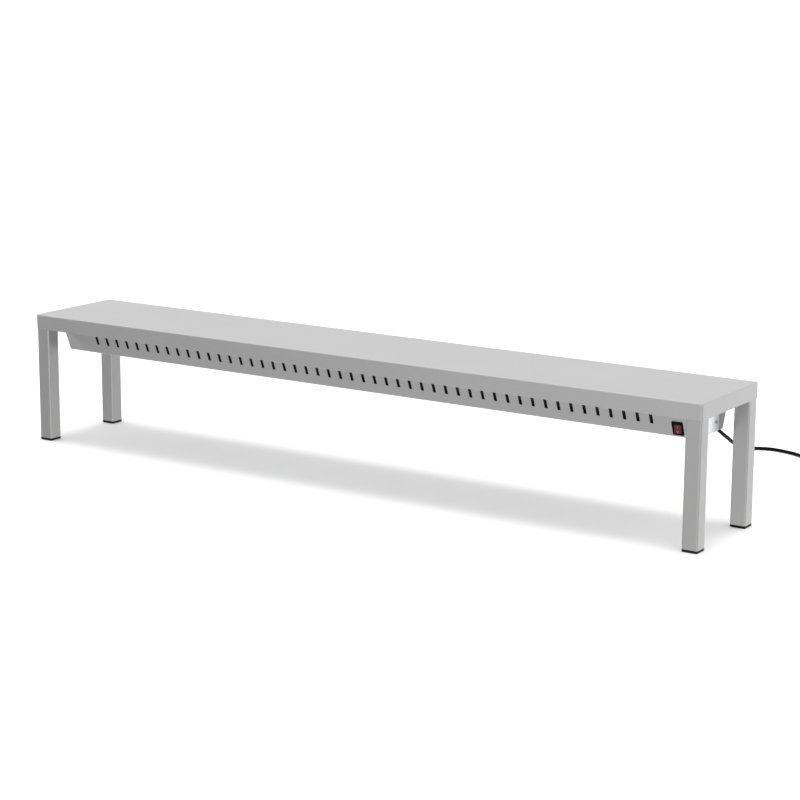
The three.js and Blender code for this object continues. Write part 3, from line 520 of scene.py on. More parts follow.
def make_leg(corner):
    low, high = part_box(f"leg_{corner}")
    middle = (low + high) / 2
    half = (high.x - low.x) / 2
    inner, inner_radius = half - LEG_WALL, LEG_RADIUS - LEG_WALL
    rings = [
        square_ring(half, LEG_RADIUS, 0, low.z + EDGE),
        square_ring(half, LEG_RADIUS, 0, high.z),
        square_ring(inner, inner_radius, 0, high.z),
        square_ring(inner, inner_radius, 0, low.z),
        square_ring(half, LEG_RADIUS, EDGE, low.z),
    ]
    place = Matrix.Translation((middle.x, middle.y, 0))
    leg = mesh_object(f"leg_tube_{corner}", loft(rings, closed=True), place)
    add(leg, "satin_steel", f"leg_{corner}", material=LEG_STEEL)

    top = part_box(f"foot_{corner}")[1].z
    plug, plug_radius = inner - GAP, inner_radius - GAP
    hollow = plug - FOOT_WALL
    rings = [
        square_ring(half, LEG_RADIUS, FOOT_ROUND, 0),
        square_ring(half, LEG_RADIUS, FOOT_ROUND / 3, FOOT_ROUND / 3),
        square_ring(half, LEG_RADIUS, 0, FOOT_ROUND),
        square_ring(half, LEG_RADIUS, 0, FOOT_HEIGHT - FOOT_SHOULDER),
        square_ring(half, LEG_RADIUS, FOOT_SHOULDER, FOOT_HEIGHT),
        square_ring(plug, plug_radius, 0, FOOT_HEIGHT),
        square_ring(plug, plug_radius, 0, top - FOOT_TAPER),
        rounded_ring(plug - FOOT_TAPER, plug - FOOT_TAPER, plug_radius, top),
        square_ring(hollow, FOOT_HOLLOW_RADIUS, 0, top),
        square_ring(hollow, FOOT_HOLLOW_RADIUS, 0, FOOT_HEIGHT),
    ]
    add(mesh_object(f"leg_foot_{corner}", loft(rings), place), "black_plastic", f"foot_{corner}")


# ---- folded sheets: casing and reflector ----

CASING_SLOPE = 0.4  # outward run of the slanted walls over their rise
CASING_SHEET = 1 * MM
CASING_BEND = 2 * MM
LIP_EDGE = 40 * MM  # from the middle to the edges of the lips folded in below
FRONT_WALL, REAR_WALL = 1, 3  # runs of the casing's path between its bends
BEND_SUPPORT = 0.3 * MM  # from a bend to the point just beyond it
BEND_SEGMENTS = 5
BEND_POINTS = BEND_SEGMENTS + 3  # of an outline at each bend
WALL_TILT = math.atan(CASING_SLOPE)
INSIDE = 1  # kind of triangulation: what lies within the border

SLOT_WIDTH = 8.5 * MM
SLOT_LENGTH = 25 * MM
SLOT_PITCH = 35 * MM
SLOT_COUNT = 49
SLOT_RISE = 37.5 * MM
SLOT_CORNER = 1.5 * MM
SLOT_RIM = 0.35 * MM

SWITCH_X = 0.906
SWITCH_RISE = 22 * MM
SWITCH_OPENING = (11.15 * MM, 15.15 * MM)  # half width and half height
CORD_HOLE_ROOM = 2 * GAP  # round the strain relief
FLAP_SEAM = 0.02 * MM  # between the end flaps and the walls


def bent(path, radius):
    """Open path in (y, z) with round bends, and a point just beyond each so that the runs shade flat."""
    points = [path[0]]
    for before, corner, after in zip(path, path[1:], path[2:]):
        back, ahead = (before - corner).normalized(), (after - corner).normalized()
        half = back.angle(ahead) / 2
        centre = corner + (back + ahead).normalized() * radius / math.sin(half)
        start = corner + back * radius / math.tan(half) - centre
        turn = (math.pi - 2 * half) * (1 if back.x * ahead.y - back.y * ahead.x < 0 else -1)
        points.append(centre + start + back * BEND_SUPPORT)
        for k in range(BEND_SEGMENTS + 1):
            angle = turn * k / BEND_SEGMENTS
            cos, sin = math.cos(angle), math.sin(angle)
            points.append(centre + Vector((start.x * cos - start.y * sin, start.x * sin + start.y * cos)))
        points.append(corner + ahead * (radius / math.tan(half) + BEND_SUPPORT))
    return points + [path[-1]]


def thickened(path, sheet, radius):
    """Faces of a sheet in (y, z): the path, and the one that lies inside its bends."""
    inner = []
    for before, corner, after in zip(path, path[1:], path[2:]):
        back, ahead = (before - corner).normalized(), (after - corner).normalized()
        inner.append(corner + (back + ahead).normalized() * sheet / math.sin(back.angle(ahead) / 2))
    for place, (end, near, beyond) in ((0, path[:3]), (len(path) - 1, path[:-4:-1])):
        run = (near - end).normalized()
        aside = beyond - near
        inner.insert(place, end + (aside - run * aside.dot(run)).normalized() * sheet)
    return bent(path, radius), bent(inner, radius - sheet)


def extruded_sheet(work, outer, inner, start, stop, holes):
    """Sheet along X. holes gives, for a run between bends, its holes as loops from outer to inner face."""
    ring = outer + inner[::-1]
    last = len(ring) - 1
    rows = [[work.verts.new((x, *point)) for point in ring] for x in (start, stop)]
    holed = {}
    for run in holes:
        index = run * BEND_POINTS
        holed[index] = (run, 0)
        holed[last - index - 1] = (run, -1)
    for k in range(last + 1):
        n = (k + 1) % (last + 1)
        quad = [rows[0][k], rows[0][n], rows[1][n], rows[1][k]]
        if k in holed:
            run, side = holed[k]
            flat_face(work, [quad] + [levels[side] for levels in holes[run]])
        else:
            work.faces.new(quad)
    for row in rows:
        work.faces.new(row)
    for run in holes:
        for levels in holes[run]:
            bridge(work, levels)


def difference(work, cutter):
    """The closed solid of a bmesh without that of another."""
    solids = []
    for name, solid in (("whole", work), ("cutter", cutter)):
        bmesh.ops.recalc_face_normals(solid, faces=solid.faces)
        mesh = bpy.data.meshes.new(name)
        solid.to_mesh(mesh)
        solid.free()
        solids.append(bpy.data.objects.new(name, mesh))
        bpy.context.scene.collection.objects.link(solids[-1])
    cut = solids[0].modifiers.new("cut", "BOOLEAN")
    cut.operation = "DIFFERENCE"
    cut.solver = "EXACT"
    cut.object = solids[1]
    rest = bmesh.new()
    rest.from_object(solids[0], bpy.context.evaluated_depsgraph_get())
    for solid in solids:
        bpy.data.meshes.remove(solid.data)
    return rest


def flat_face(work, loops):
    """Upright or slanted flat face: the first loop of vertices is its border, the others convex holes."""
    verts = [vert for loop in loops for vert in loop]
    owners = [number for number, loop in enumerate(loops) for _ in loop]
    edges = []
    for loop in loops:
        first = len(edges)
        edges += [(first + k, first + (k + 1) % len(loop)) for k in range(len(loop))]
    places = [Vector((vert.co.x, vert.co.z)) for vert in verts]
    filled = delaunay_2d_cdt(places, edges, [], INSIDE, 1e-9)
    triangles, sources = filled[2], filled[3]
    for triangle in triangles:
        corners = [sources[k][0] for k in triangle]
        touched = {owners[k] for k in corners}
        if len(touched) > 1 or 0 in touched:  # all corners on one hole: a triangle within it
            work.faces.new([verts[k] for k in corners])


def wall_at(z):
    """Distance of the casing's outer faces from its middle plane."""
    return CASING_HIGH.y - CASING_SLOPE * (CASING_HIGH.z - z)


def wall_frame(side, x, rise):
    """Frame on the casing's wall: X along it, Y up it, Z out of it. side is -1 at the front."""
    out = Vector((0, side * math.cos(WALL_TILT), -math.sin(WALL_TILT)))
    z = CASING_LOW.z + rise
    return towards((x, side * wall_at(z), z), out)


def slot_outline(grow):
    x, y = SLOT_WIDTH / 2 - SLOT_CORNER, SLOT_LENGTH / 2 - SLOT_CORNER
    points = []
    for k, centre in enumerate(((x, y), (-x, y), (-x, -y), (x, -y))):
        points += arc(centre, SLOT_CORNER + grow, 90 * k, 90 * k + 90, 4)
    return points


def hole_levels(work, matrix, levels):
    """Loops of a hole: each level is an outline in the frame's XY and its height in the frame."""
    return [[work.verts.new(matrix @ Vector((x, y, z))) for x, y in outline] for outline, z in levels]


def casing_holes(work):
    """Vent slots in both walls and the opening for the switch in the front one."""
    slot = [(slot_outline(SLOT_RIM), 0), (slot_outline(0), -SLOT_RIM), (slot_outline(0), -CASING_SHEET)]
    holes = {FRONT_WALL: [], REAR_WALL: []}
    for run, side in ((FRONT_WALL, -1), (REAR_WALL, 1)):
        for k in range(SLOT_COUNT):
            place = wall_frame(side, (k - (SLOT_COUNT - 1) / 2) * SLOT_PITCH, SLOT_RISE)
            holes[run].append(hole_levels(work, place, slot))
    width, height = SWITCH_OPENING
    opening = [(width, -height), (width, height), (-width, height), (-width, -height)]
    levels = [(opening, 0), (opening, -CASING_SHEET)]
    holes[FRONT_WALL].append(hole_levels(work, wall_frame(-1, SWITCH_X, SWITCH_RISE), levels))
    return holes


def add_flaps(work):
    """Flaps folded in from the walls, which close the ends beside the channel."""
    low, high = CASING_LOW.z + CASING_SHEET + GAP, CASING_HIGH.z - CASING_SHEET - GAP
    skin = CASING_SHEET / math.cos(WALL_TILT) + FLAP_SEAM
    inside = CHANNEL_HIGH.y + GAP
    corners = [(inside, low), (wall_at(low) - skin, low), (wall_at(high) - skin, high), (inside, high)]
    levels = (CASING_HIGH.x - CASING_SHEET, CASING_HIGH.x - FLAP_SEAM)
    for end in (-1, 1):
        for side in (-1, 1):
            loft([[Vector((end * x, side * y, z)) for y, z in corners] for x in levels], work)


def make_casing():
    bottom, top = CASING_LOW.z, CASING_HIGH.z
    half = [(LIP_EDGE, bottom), (wall_at(bottom), bottom), (wall_at(top), top)]
    path = [Vector((-y, z)) for y, z in half] + [Vector((y, z)) for y, z in half[::-1]]
    outer, inner = thickened(path, CASING_SHEET, CASING_BEND)
    work = bmesh.new()
    extruded_sheet(work, outer, inner, CASING_LOW.x, CASING_HIGH.x, casing_holes(work))
    base, tip = RELIEF_BASE + CORD_HOLE_ROOM, RELIEF_TIP + CORD_HOLE_ROOM
    cord_hole = lathe([(base, 0), (tip, RELIEF_LENGTH)], 40)
    bmesh.ops.transform(cord_hole, matrix=towards(GLAND_PLACE, RELIEF_DIRECTION), verts=cord_hole.verts)
    work = difference(work, cord_hole)
    add_flaps(work)
    add(mesh_object("casing_sheet", work), "satin_steel", "lamp_casing")


REFLECTOR_SHEET = 0.8 * MM
REFLECTOR_TOP = 24 * MM  # half width of its flat top


def make_reflector():
    low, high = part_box("reflector")
    path = [Vector((-high.y, low.z)), Vector((-REFLECTOR_TOP, high.z))]
    path += [Vector((-y, z)) for y, z in path[::-1]]
    outer, inner = thickened(path, REFLECTOR_SHEET, CASING_BEND)
    work = bmesh.new()
    extruded_sheet(work, outer, inner, low.x, high.x, {})
    add(mesh_object("reflector_sheet", work), "bright_steel", "reflector")


# ---- end plates and screws ----

SCREW_SPREAD = 60 * MM
SCREW_RISE = 22.5 * MM
SCREW_POINTS = 48
SCREW_PROFILE = [  # radius and height over the plate in mm, from the thread's tip to the head's crown
    (1.6, -7.9), (2.0, -7.4), (2.0, 0), (3.85, 0), (4.0, 0.2), (4.0, 0.8), (3.8, 1.35), (3.3, 1.8),
    (2.6, 2.08), (2.3, 2.15),
]
CROSS_RECESS = [(2.0, 0.5, 2.17), (1.5, 0.4, 0.9)]  # arm, half width and height in mm, mouth and floor
PLATE_CORNER = 1.5 * MM


def cross_ring(arm, width, z):
    """Outline of a cross recess with as many points as a screw's other rings."""
    ring = []
    for point in circle_ring(1, z, SCREW_POINTS):
        x, y = max(abs(point.x), 1e-6), max(abs(point.y), 1e-6)
        reach = max(min(arm / x, width / y), min(width / x, arm / y))
        ring.append(Vector((point.x * reach, point.y * reach, z)))
    return ring


def make_screw(name, place, out):
    rings = [circle_ring(r * MM, z * MM, SCREW_POINTS) for r, z in SCREW_PROFILE]
    rings += [cross_ring(arm * MM, width * MM, z * MM) for arm, width, z in CROSS_RECESS]
    screw = mesh_object(f"cross_{name}", loft(rings), towards(place, out), 30)
    add(screw, "zinc_steel", name)


def make_ends():
    for name, side in (("left", -1), ("right", 1)):
        low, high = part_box(f"end_plate_{name}")
        half_y, half_z, sheet = (high.y - low.y) / 2, (high.z - low.z) / 2, high.x - low.x
        rings = []
        for inset, z in ((EDGE, 0), (0, EDGE), (0, sheet - EDGE), (EDGE, sheet)):
            rings.append(rounded_ring(half_y - inset, half_z - inset, PLATE_CORNER - inset, z, 4))
        face = low.x if side > 0 else high.x
        out = Vector((side, 0, 0))
        place = towards((face, 0, (low.z + high.z) / 2), out)
        add(mesh_object(f"end_cover_{name}", loft(rings), place), "bright_steel", f"end_plate_{name}")
        for where, y in (("front", -SCREW_SPREAD / 2), ("rear", SCREW_SPREAD / 2)):
            place = (face + side * (sheet + GAP), y, CASING_LOW.z + SCREW_RISE)
            make_screw(f"end_screw_{name}_{where}", place, out)


# ---- rocker switch ----

BEZEL = (14 * MM, 18 * MM)  # half width and half height, as the next sizes
POCKET = (9.7 * MM, 13.5 * MM)
HOUSING = (10.85 * MM, 14.85 * MM)
BEZEL_TOP = 2.3 * MM
BEZEL_CORNER = 2 * MM
BEZEL_BREAK = 0.3 * MM  # broken edge against the wall
BEZEL_ROUND = 0.9 * MM
POCKET_DEPTH = 12 * MM
POCKET_CORNER = 0.6 * MM
POCKET_ROUND = 0.8 * MM
HOUSING_DEPTH = 22 * MM
HOUSING_CORNER = 0.8 * MM
HOUSING_TAPER = 0.6 * MM

ROCKER_HALF_WIDTH = 9.4 * MM
ROCKER_TIP = 11.88 * MM  # from the pivot to the tips of the top
ROCKER_SHOULDER = 0.3 * MM  # beyond the tips
ROCKER_RISE = 5 * MM  # tips above the pivot
ROCKER_VALLEY = 3.2 * MM
ROCKER_BACK = 4 * MM  # below the pivot
ROCKER_PIVOT = 2 * MM  # behind the wall's face
ROCKER_REST = math.radians(-12)
ROCKER_EDGE = [(0.5 * MM, 0), (0.15 * MM, 0.12 * MM), (0, 0.5 * MM)]  # insets of outline and side
ROCKER_STEPS = 12  # along its hollow top
PAINTED_SHADE_START = 8.8 * MM  # where the rocker's black end begins, which is painted shade: black plastic where the top of the pocket lies in shade
PAINTED_SHADE_SEAM = 0.08 * MM


def rocker_outline(start, stop, inset):
    """Side view of the rocker about its pivot, in (y, z), from one place along it to another."""
    tip, back, start, stop = ROCKER_TIP - inset, ROCKER_BACK - inset, start + inset, stop - inset
    tops = [start + (stop - start) * k / ROCKER_STEPS for k in range(ROCKER_STEPS + 1)]
    hollow = ROCKER_RISE - ROCKER_VALLEY
    outline = [(y, ROCKER_VALLEY + hollow * (y / tip) ** 2 - inset) for y in tops]

    def side(y, sign):
        """Points below the top's end: straight down at the seam, slanted at a tip."""
        if abs(y) < 0.95 * tip:
            return [(y, -back)]
        return [(sign * (tip + ROCKER_SHOULDER), 0.4 * ROCKER_RISE), (sign * 0.75 * tip, -back)]

    return outline + side(stop, 1) + side(start, -1)[::-1]


def rocker_solid(name, start, stop):
    rows = []
    for inset, aside in ROCKER_EDGE:
        outline = rocker_outline(start, stop, inset)
        rows.append([Vector((ROCKER_HALF_WIDTH - aside, y, z)) for y, z in outline])
    mirrored = [[Vector((-p.x, p.y, p.z)) for p in row] for row in rows[::-1]]
    return mesh_object(name, loft(rows + mirrored), rocker_frame(), 30)


def rocker_frame():
    turn = Matrix.Rotation(ROCKER_REST, 4, "X")
    lift = Matrix.Translation((0, 0, -ROCKER_PIVOT))
    return wall_frame(-1, SWITCH_X, SWITCH_RISE) @ lift @ turn


def make_switch():
    """Rings from the housing's back to the bezel's face, and down into the rocker's pocket."""
    rings = []

    def ring(half, grow, radius, z):
        rings.append(rounded_ring(half[0] + grow, half[1] + grow, radius, z, 4, 0.3 * MM))

    ring(HOUSING, -HOUSING_TAPER, HOUSING_CORNER / 2, -HOUSING_DEPTH)
    ring(HOUSING, 0, HOUSING_CORNER, HOUSING_TAPER - HOUSING_DEPTH)
    ring(HOUSING, 0, HOUSING_CORNER, GAP)
    ring(BEZEL, -BEZEL_BREAK, 0.9 * BEZEL_CORNER, GAP)
    ring(BEZEL, 0, BEZEL_CORNER, GAP + BEZEL_BREAK)
    for across, up in arc((-BEZEL_ROUND, -BEZEL_ROUND), BEZEL_ROUND, 0, 90, 4):
        ring(BEZEL, across, BEZEL_CORNER + across, BEZEL_TOP + up)
    for across, up in arc((POCKET_ROUND, -POCKET_ROUND), POCKET_ROUND, 90, 180, 3):
        ring(POCKET, across, POCKET_CORNER + across, BEZEL_TOP + up)
    ring(POCKET, 0, POCKET_CORNER, -POCKET_DEPTH)
    switch_frame = mesh_object("switch_frame", loft(rings), wall_frame(-1, SWITCH_X, SWITCH_RISE), 30)
    add(switch_frame, "black_plastic", "switch_housing", material=SWITCH_BLACK)

    lens = rocker_solid("rocker_lens", -ROCKER_TIP, PAINTED_SHADE_START)
    add(lens, "red_lens", "switch_rocker", body="rocker")
    # Painted shade: the rocker's top end in black plastic stands in for the shade at the top of its pocket.
    painted_shade = rocker_solid("rocker_painted_shade", PAINTED_SHADE_START + PAINTED_SHADE_SEAM, ROCKER_TIP)
    add(painted_shade, "black_plastic", body="rocker", material=SWITCH_BLACK)
    make_marks()


BAR_Y = 3.4 * MM
BAR = (0.55 * MM, 2.3 * MM)  # half width and half length
BAR_CORNER = 0.3 * MM
BAR_LEVELS = (-0.5 * MM, 0.1 * MM, 0.16 * MM)  # from the lens
RING_Y = -8 * MM
RING_PROFILE = [(2.2, -0.4), (2.2, 0.15), (1.3, 0.15), (1.3, -0.4)]  # radius and height in mm


def make_marks():
    """Raised bar and ring on the lens."""
    curve = (ROCKER_RISE - ROCKER_VALLEY) / ROCKER_TIP ** 2

    def on_lens(y):
        return Matrix.Translation((0, y, ROCKER_VALLEY + curve * y ** 2))

    rows = [rounded_ring(*BAR, BAR_CORNER, z, 3, 0.1 * MM) for z in BAR_LEVELS]
    bar = mesh_object("mark_bar", loft(rows), rocker_frame() @ on_lens(BAR_Y))
    rings = [circle_ring(radius * MM, z * MM, 28) for radius, z in RING_PROFILE]
    slope = Matrix.Rotation(math.atan(2 * curve * RING_Y), 4, "X")
    ring = mesh_object("mark_ring", loft(rings, closed=True), rocker_frame() @ on_lens(RING_Y) @ slope)
    for mark in (bar, ring):
        add(mark, "red_lens", body="rocker", material=MARK_WHITE)


# ---- lamps, holders and guards ----

LAMP_COUNT = 3
TUBE_RADIUS = 6 * MM
TUBE_WALL = 1.2 * MM
WIRE_RADIUS = 0.45 * MM
WINDING_PITCH = 4 * MM
WINDING_POINTS = 10  # in a turn
HOLDER_ROUND = 1 * MM  # edges of a holder's closed end
HOLDER_MOUTH_ROUND = 0.7 * MM
HOLDER_CORNER = 2 * MM
SEAT_DEPTH = 11.5 * MM
SEAT_FLARE = 1 * MM
GUARD_RADIUS = 1.5 * MM
GUARD_PITCH = 44 * MM


def make_lamp(number):
    low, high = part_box(f"quartz_tube_{number}")
    axis = (low.z + high.z) / 2
    outer = [circle_ring(TUBE_RADIUS, x, 40) for x in (low.x, low.x + EDGE, high.x - EDGE, high.x)]
    inner = [circle_ring(TUBE_RADIUS - TUBE_WALL, x, 40) for x in (high.x, low.x)]
    place = towards((0, 0, axis), (1, 0, 0))
    tube = mesh_object(f"lamp_tube_{number}", loft(outer + inner, closed=True), place)
    add(tube, "quartz", f"quartz_tube_{number}")

    low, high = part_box(f"heating_coil_{number}")
    radius = (high.z - low.z) / 2 - WIRE_RADIUS
    curve = bpy.data.curves.new(f"winding_{number}", "CURVE")
    curve.dimensions = "3D"
    curve.bevel_depth = WIRE_RADIUS
    curve.bevel_resolution = 1
    curve.use_fill_caps = True
    count = round((high.x - low.x) / WINDING_PITCH * WINDING_POINTS)
    spline = curve.splines.new("POLY")
    spline.points.add(count)
    for k, point in enumerate(spline.points):
        turn = 2 * math.pi * k / WINDING_POINTS
        x = low.x + WIRE_RADIUS + (high.x - low.x - 2 * WIRE_RADIUS) * k / count
        point.co = (x, radius * math.cos(turn), axis + radius * math.sin(turn), 1)
    add(bpy.data.objects.new(f"winding_{number}", curve), "heating_wire", f"heating_coil_{number}")

    for name, side in (("left", -1), ("right", 1)):
        low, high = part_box(f"lamp_holder_{number}_{name}")
        make_holder(f"lamp_holder_{number}_{name}", low, high, side, axis)


def make_holder(node, low, high, side, axis):
    """Ceramic block with round edges and a seat for the lamp's end."""
    half_y, half_z, length = (high.y - low.y) / 2, (high.z - low.z) / 2, high.x - low.x
    middle = (low.z + high.z) / 2
    mouth = high.x if side < 0 else low.x  # the face that the lamp goes into
    rings = []
    for inset, z in (
        (HOLDER_ROUND, length),
        (0, length - HOLDER_ROUND),
        (0, HOLDER_MOUTH_ROUND),
        (HOLDER_MOUTH_ROUND, 0),
    ):
        rings.append(rounded_ring(half_y - inset, half_z - inset, HOLDER_CORNER - inset, z, 4, 0.5 * MM))
    # +Y of the mouth's frame points up.
    seat = Vector((0, axis - middle, 0))
    spokes = [(Vector((point.x, point.y, 0)) - seat).normalized() for point in rings[-1]]
    bore = TUBE_RADIUS + GAP
    for radius, depth in ((TUBE_RADIUS + SEAT_FLARE, 0), (bore, HOLDER_MOUTH_ROUND), (bore, SEAT_DEPTH)):
        rings.append([seat + spoke * radius + UP * depth for spoke in spokes])
    place = towards((mouth, 0, middle), (side, 0, 0))
    add(mesh_object(f"{node}_block", loft(rings), place, 30), "ceramic", node)


WIRE_END = 0.4 * MM  # length of a wire's blunt end


def wire(work, start, stop):
    """Straight round wire with blunt ends."""
    span = Vector(stop) - Vector(start)
    blunt = 0.7 * GUARD_RADIUS
    profile = [
        (blunt, 0), (GUARD_RADIUS, WIRE_END), (GUARD_RADIUS, span.length - WIRE_END), (blunt, span.length),
    ]
    place = towards(start, span)
    loft([[place @ point for point in circle_ring(radius, z, 12)] for radius, z in profile], work)


def make_guard(number):
    low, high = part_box(f"lamp_guard_{number}")
    level = (low.z + high.z) / 2
    side = high.y - GUARD_RADIUS
    work = bmesh.new()
    for y in (-side, 0, side):
        wire(work, (low.x, y, level), (high.x, y, level))
    start, stop = low.x + GUARD_RADIUS, high.x - GUARD_RADIUS
    count = round((stop - start) / GUARD_PITCH)
    for k in range(count + 1):
        x = start + (stop - start) * k / count
        wire(work, (x, -side, level), (x, side, level))
    add(mesh_object(f"guard_wires_{number}", work), "bright_steel", f"lamp_guard_{number}")


# ---- strain relief, plug and tie ----

RELIEF_GROOVES = 8
GROOVE_START = 7 * MM
GROOVE_PITCH = 3 * MM
GROOVE_DEPTH = 0.8 * MM
GROOVE_PROFILE = [(0, 0), (1, 0.15), (1, 1.15), (0.05, 1.3)]  # share of the depth, and mm along the relief
FLANGE_PROFILE = [  # radius and distance from the wall in mm, from inside to outside
    (5.5, -5.3), (5.5, 0.3), (7.2, 0.3), (7.5, 0.6), (7.5, 1.9), (7.3, 2.4), (6.8, 2.7), (5.6, 2.7),
]
NUT_RADIUS = 7.2 * MM  # to its corners

PLUG_LENGTH = 50 * MM
PLUG_POINTS = 72
PLUG_PROFILE = [  # radius and distance along the plug in mm: ribbed neck, grip, face
    (5.0, 0.3), (5.4, 0.6), (5.4, 2), (5.0, 2.2), (5.0, 3.2), (5.5, 3.4), (5.6, 5.4), (5.1, 5.6),
    (5.1, 6.6), (5.7, 6.8), (5.8, 8.8), (5.3, 9), (5.3, 10), (5.9, 10.4), (7.6, 11.6), (11, 13),
    (12.5, 15), (12.9, 18), (13.3, 24), (13.6, 29), (14.5, 32), (16.6, 34.6), (17.9, 36),
    (18.5, 37.4), (18.5, 48.4), (18.3, 49.4), (17.6, 50),
]
GRIP = (15, 32)  # mm along the plug
GRIP_FLUTES = 18
GRIP_DENT = 0.035  # share of the radius
PIN_RADIUS = 2.4 * MM
PIN_LENGTH = 19 * MM
PIN_SPREAD = 19 * MM
PIN_SUNK = 0.5 * MM  # in the plug's face


def make_relief():
    """Tapered and grooved sleeve with its flange on the wall, and the nut behind the wall."""
    profile = [(RELIEF_BASE, 0)]
    for k in range(RELIEF_GROOVES):
        start = GROOVE_START + GROOVE_PITCH * k
        radius = RELIEF_BASE + (RELIEF_TIP - RELIEF_BASE) * start / RELIEF_LENGTH
        profile += [(radius - GROOVE_DEPTH * share, start + z * MM) for share, z in GROOVE_PROFILE]
    profile += [(RELIEF_TIP, RELIEF_LENGTH - 0.5 * MM), (RELIEF_TIP - 0.4 * MM, RELIEF_LENGTH)]
    work = lathe(profile, 32)
    bmesh.ops.transform(work, matrix=towards(GLAND_PLACE, RELIEF_DIRECTION), verts=work.verts)
    flange = [circle_ring(radius * MM, z * MM, 40) for radius, z in FLANGE_PROFILE]
    wall = towards(GLAND_PLACE, (0, 1, 0))
    loft([[wall @ point for point in ring] for ring in flange], work)
    add(mesh_object("relief_boot", work, sharp=30), "cord_sheath", "strain_relief")

    low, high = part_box("gland_nut")
    middle = (low + high) / 2
    place = towards((middle.x, low.y, middle.z), (0, 1, 0))
    nut = lathe([(NUT_RADIUS, 0), (NUT_RADIUS, high.y - low.y)], 6)
    add(mesh_object("gland_hexagon", nut, place), "black_plastic", "gland_nut")


def make_plug():
    heading = Vector((math.cos(PLUG_HEADING), math.sin(PLUG_HEADING), 0))
    neck = Vector(CORD_TAIL[-1])
    rings = []
    for radius, z in PLUG_PROFILE:
        ring = circle_ring(radius * MM, z * MM, PLUG_POINTS)
        if GRIP[0] <= z <= GRIP[1]:
            for k, point in enumerate(ring):
                wave = 0.5 + 0.5 * math.cos(2 * math.pi * k / PLUG_POINTS * GRIP_FLUTES)
                dent = 1 - GRIP_DENT * wave ** 2
                point.x, point.y = point.x * dent, point.y * dent
        rings.append(ring)
    plug = mesh_object("plug_shell", loft(rings), towards(neck, heading), 30)
    pieces = [add(plug, "black_plastic", "plug_body")]
    side = Vector((-heading.y, heading.x, 0))
    length = PIN_LENGTH + PIN_SUNK
    pin = [(PIN_RADIUS, 0), (PIN_RADIUS, length - PIN_RADIUS)]
    pin += arc((0, length - PIN_RADIUS), PIN_RADIUS, 15, 75, 4)
    for name, sign in (("left", 1), ("right", -1)):
        start = neck + side * sign * PIN_SPREAD / 2 + heading * (PLUG_LENGTH - PIN_SUNK)
        tip = mesh_object(f"plug_tip_{name}", lathe(pin, 28), towards(start, heading))
        pieces.append(add(tip, "brass", f"plug_pin_{name}"))
    return pieces


TIE_ANGLE = math.radians(60)
TIE_SHEET = 1 * MM
TIE_HALF_WIDTH = 6 * MM
TIE_CORNER = 1.4 * MM  # inside


def make_tie():
    """Soft strap round the coil, with round corners."""
    out = Vector((math.cos(TIE_ANGLE), math.sin(TIE_ANGLE), 0))
    reach = CORD_DIAMETER / 2 + GAP
    bulge = TIE_HALF_WIDTH ** 2 / (2 * (COIL_RADIUS - CORD_DIAMETER / 2))
    first = COIL_BOTTOM + COIL_RISE * ((TIE_ANGLE - COIL_START) / (2 * math.pi) % 1)
    last = first + COIL_RISE * (math.floor(COIL_TURNS) - 1)
    slant = COIL_RISE * TIE_HALF_WIDTH / (2 * math.pi * COIL_RADIUS)
    half_x, half_y = reach + bulge / 2, (last - first) / 2 + reach + slant
    rings = []
    for grow, z in ((TIE_SHEET, -1), (TIE_SHEET, 1), (0, 1), (0, -1)):
        corner = TIE_CORNER + grow
        rings.append(rounded_ring(half_x + grow, half_y + grow, corner, z * TIE_HALF_WIDTH, 6, 0.3 * MM))
    middle = COIL_MIDDLE + out * (COIL_RADIUS - bulge / 2) + UP * (first + last) / 2
    turn = Matrix((out, UP, out.cross(UP))).transposed()
    strap = mesh_object("tie_strap", loft(rings, closed=True), Matrix.Translation(middle) @ turn.to_4x4())
    return add(strap, "black_plastic", "cord_tie")


# ---- floor and light ----

FLOOR_HALF = 40  # metres


def make_floor():
    """White floor, which the steel doesn't mirror: the surroundings give it what it mirrors."""
    work = bmesh.new()
    half = FLOOR_HALF
    corners = ((-half, -half), (half, -half), (half, half), (-half, half))
    work.faces.new([work.verts.new((x, y, cad_low.z)) for x, y in corners])
    floor = mesh_object("floor", work)
    color = (0.90, 0.90, 0.90)
    nodes = Nodes("floor_paint", color, 0.9)
    nodes.tint(color, nodes.between(nodes.noise(0.8, 2.0), 0.995, 1.0))
    floor.data.materials.append(nodes.material)
    bpy.context.scene.collection.objects.link(floor)
    floor.visible_glossy = False


SUN_STRENGTH = 1.3
SUN_HEIGHT = 4  # metres
SUN_ANGLE = math.radians(20)  # how wide the source is, which makes its shadows soft


def make_sun():
    """Soft light from straight above."""
    data = bpy.data.lights.new("overhead", "SUN")
    data.energy = SUN_STRENGTH
    data.angle = SUN_ANGLE
    light = bpy.data.objects.new("overhead", data)
    light.matrix_world = towards((0, 0, SUN_HEIGHT), UP, Vector((0, 1, 0)))
    light.visible_glossy = False
    bpy.context.scene.collection.objects.link(light)


SKY_LOW = 0.88  # near the horizon
SKY_HIGH = 1.2
# Below the horizon: behind the object, towards its right end, and straight to the right.
GROUND_BACK = 1.45
GROUND_RIGHT = 0.15
GROUND_FAR_RIGHT = 0.8
# Below the horizon in front of the object, and far down there.
GROUND_FRONT = 0.84
GROUND_BELOW = 0.70
# The same two at the left.
GROUND_LEFT = 0.3
GROUND_BELOW_LEFT = 0.55


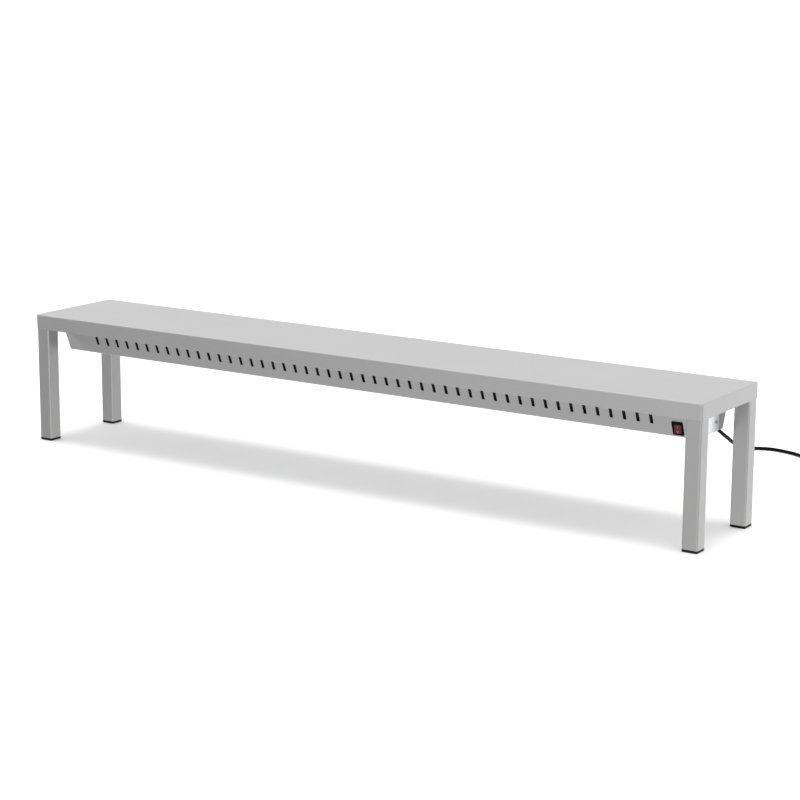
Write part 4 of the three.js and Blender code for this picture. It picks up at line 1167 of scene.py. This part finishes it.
def make_world():
    """Studio surroundings: a bright dome, and below the horizon a ground darker in front than behind."""
    world = bpy.data.worlds.new("studio")
    bpy.context.scene.world = world
    world.use_nodes = True
    tree = world.node_tree
    background = tree.nodes["Background"]
    background.inputs["Color"].default_value = (1, 1, 1, 1)
    place = tree.nodes.new("ShaderNodeTexCoord").outputs["Generated"]
    split = tree.nodes.new("ShaderNodeSeparateXYZ")
    tree.links.new(place, split.inputs["Vector"])
    x, y, z = (split.outputs[name] for name in "XYZ")

    def ranged(value, start, stop, low, high):
        node = tree.nodes.new("ShaderNodeMapRange")
        node.interpolation_type = "SMOOTHSTEP"
        for name, number in (("From Min", start), ("From Max", stop), ("To Min", low), ("To Max", high)):
            node.inputs[name].default_value = number
        tree.links.new(value, node.inputs["Value"])
        return node.outputs["Result"]

    def mixed(first, second, share):
        """Mix of two values, the first of which may be a plain number."""
        mix = tree.nodes.new("ShaderNodeMix")
        if isinstance(first, float):
            mix.inputs["A"].default_value = first
        else:
            tree.links.new(first, mix.inputs["A"])
        tree.links.new(second, mix.inputs["B"])
        tree.links.new(share, mix.inputs["Factor"])
        return mix.outputs["Result"]

    # The limits of each range are the cosines of directions, along X, Y or Z.
    right = ranged(x, 0.74, 0.9, GROUND_RIGHT, GROUND_FAR_RIGHT)
    back = mixed(GROUND_BACK, right, ranged(x, 0.45, 0.7, 0, 1))
    middle = ranged(z, -0.85, -0.3, GROUND_BELOW, GROUND_FRONT)
    left = ranged(z, -0.85, -0.3, GROUND_BELOW_LEFT, GROUND_LEFT)
    front = mixed(left, middle, ranged(x, -0.75, -0.35, 0, 1))
    ground = mixed(front, back, ranged(y, -0.35, 0.35, 0, 1))
    sky = ranged(z, 0.1, 0.7, SKY_LOW, SKY_HIGH)
    strength = mixed(ground, sky, ranged(z, -0.06, 0.06, 0, 1))
    tree.links.new(strength, background.inputs["Strength"])


make_floor()
make_world()
make_sun()
bpy.context.scene.view_settings.view_transform = "Standard"

make_shelf()
for corner in ("front_left", "front_right", "rear_left", "rear_right"):
    make_leg(corner)
make_casing()
make_reflector()
make_ends()
make_switch()
for number in range(1, LAMP_COUNT + 1):
    make_lamp(number)
    make_guard(number)
make_relief()
cord_ends = [*make_plug(), make_tie()]

# The frame's own solids that stay in view take the finish of their slot, but for the channel's dark steel.
for subpart in frame["record"]["subparts"]:
    node = frame["nodes"][subpart["node"]]
    if not node.hide_render:
        channel = subpart["node"] == "lamp_channel"
        node.data.materials.clear()
        node.data.materials.append(CHANNEL_STEEL if channel else MATERIALS[subpart["material_slot"]])

length_of(cord_route())
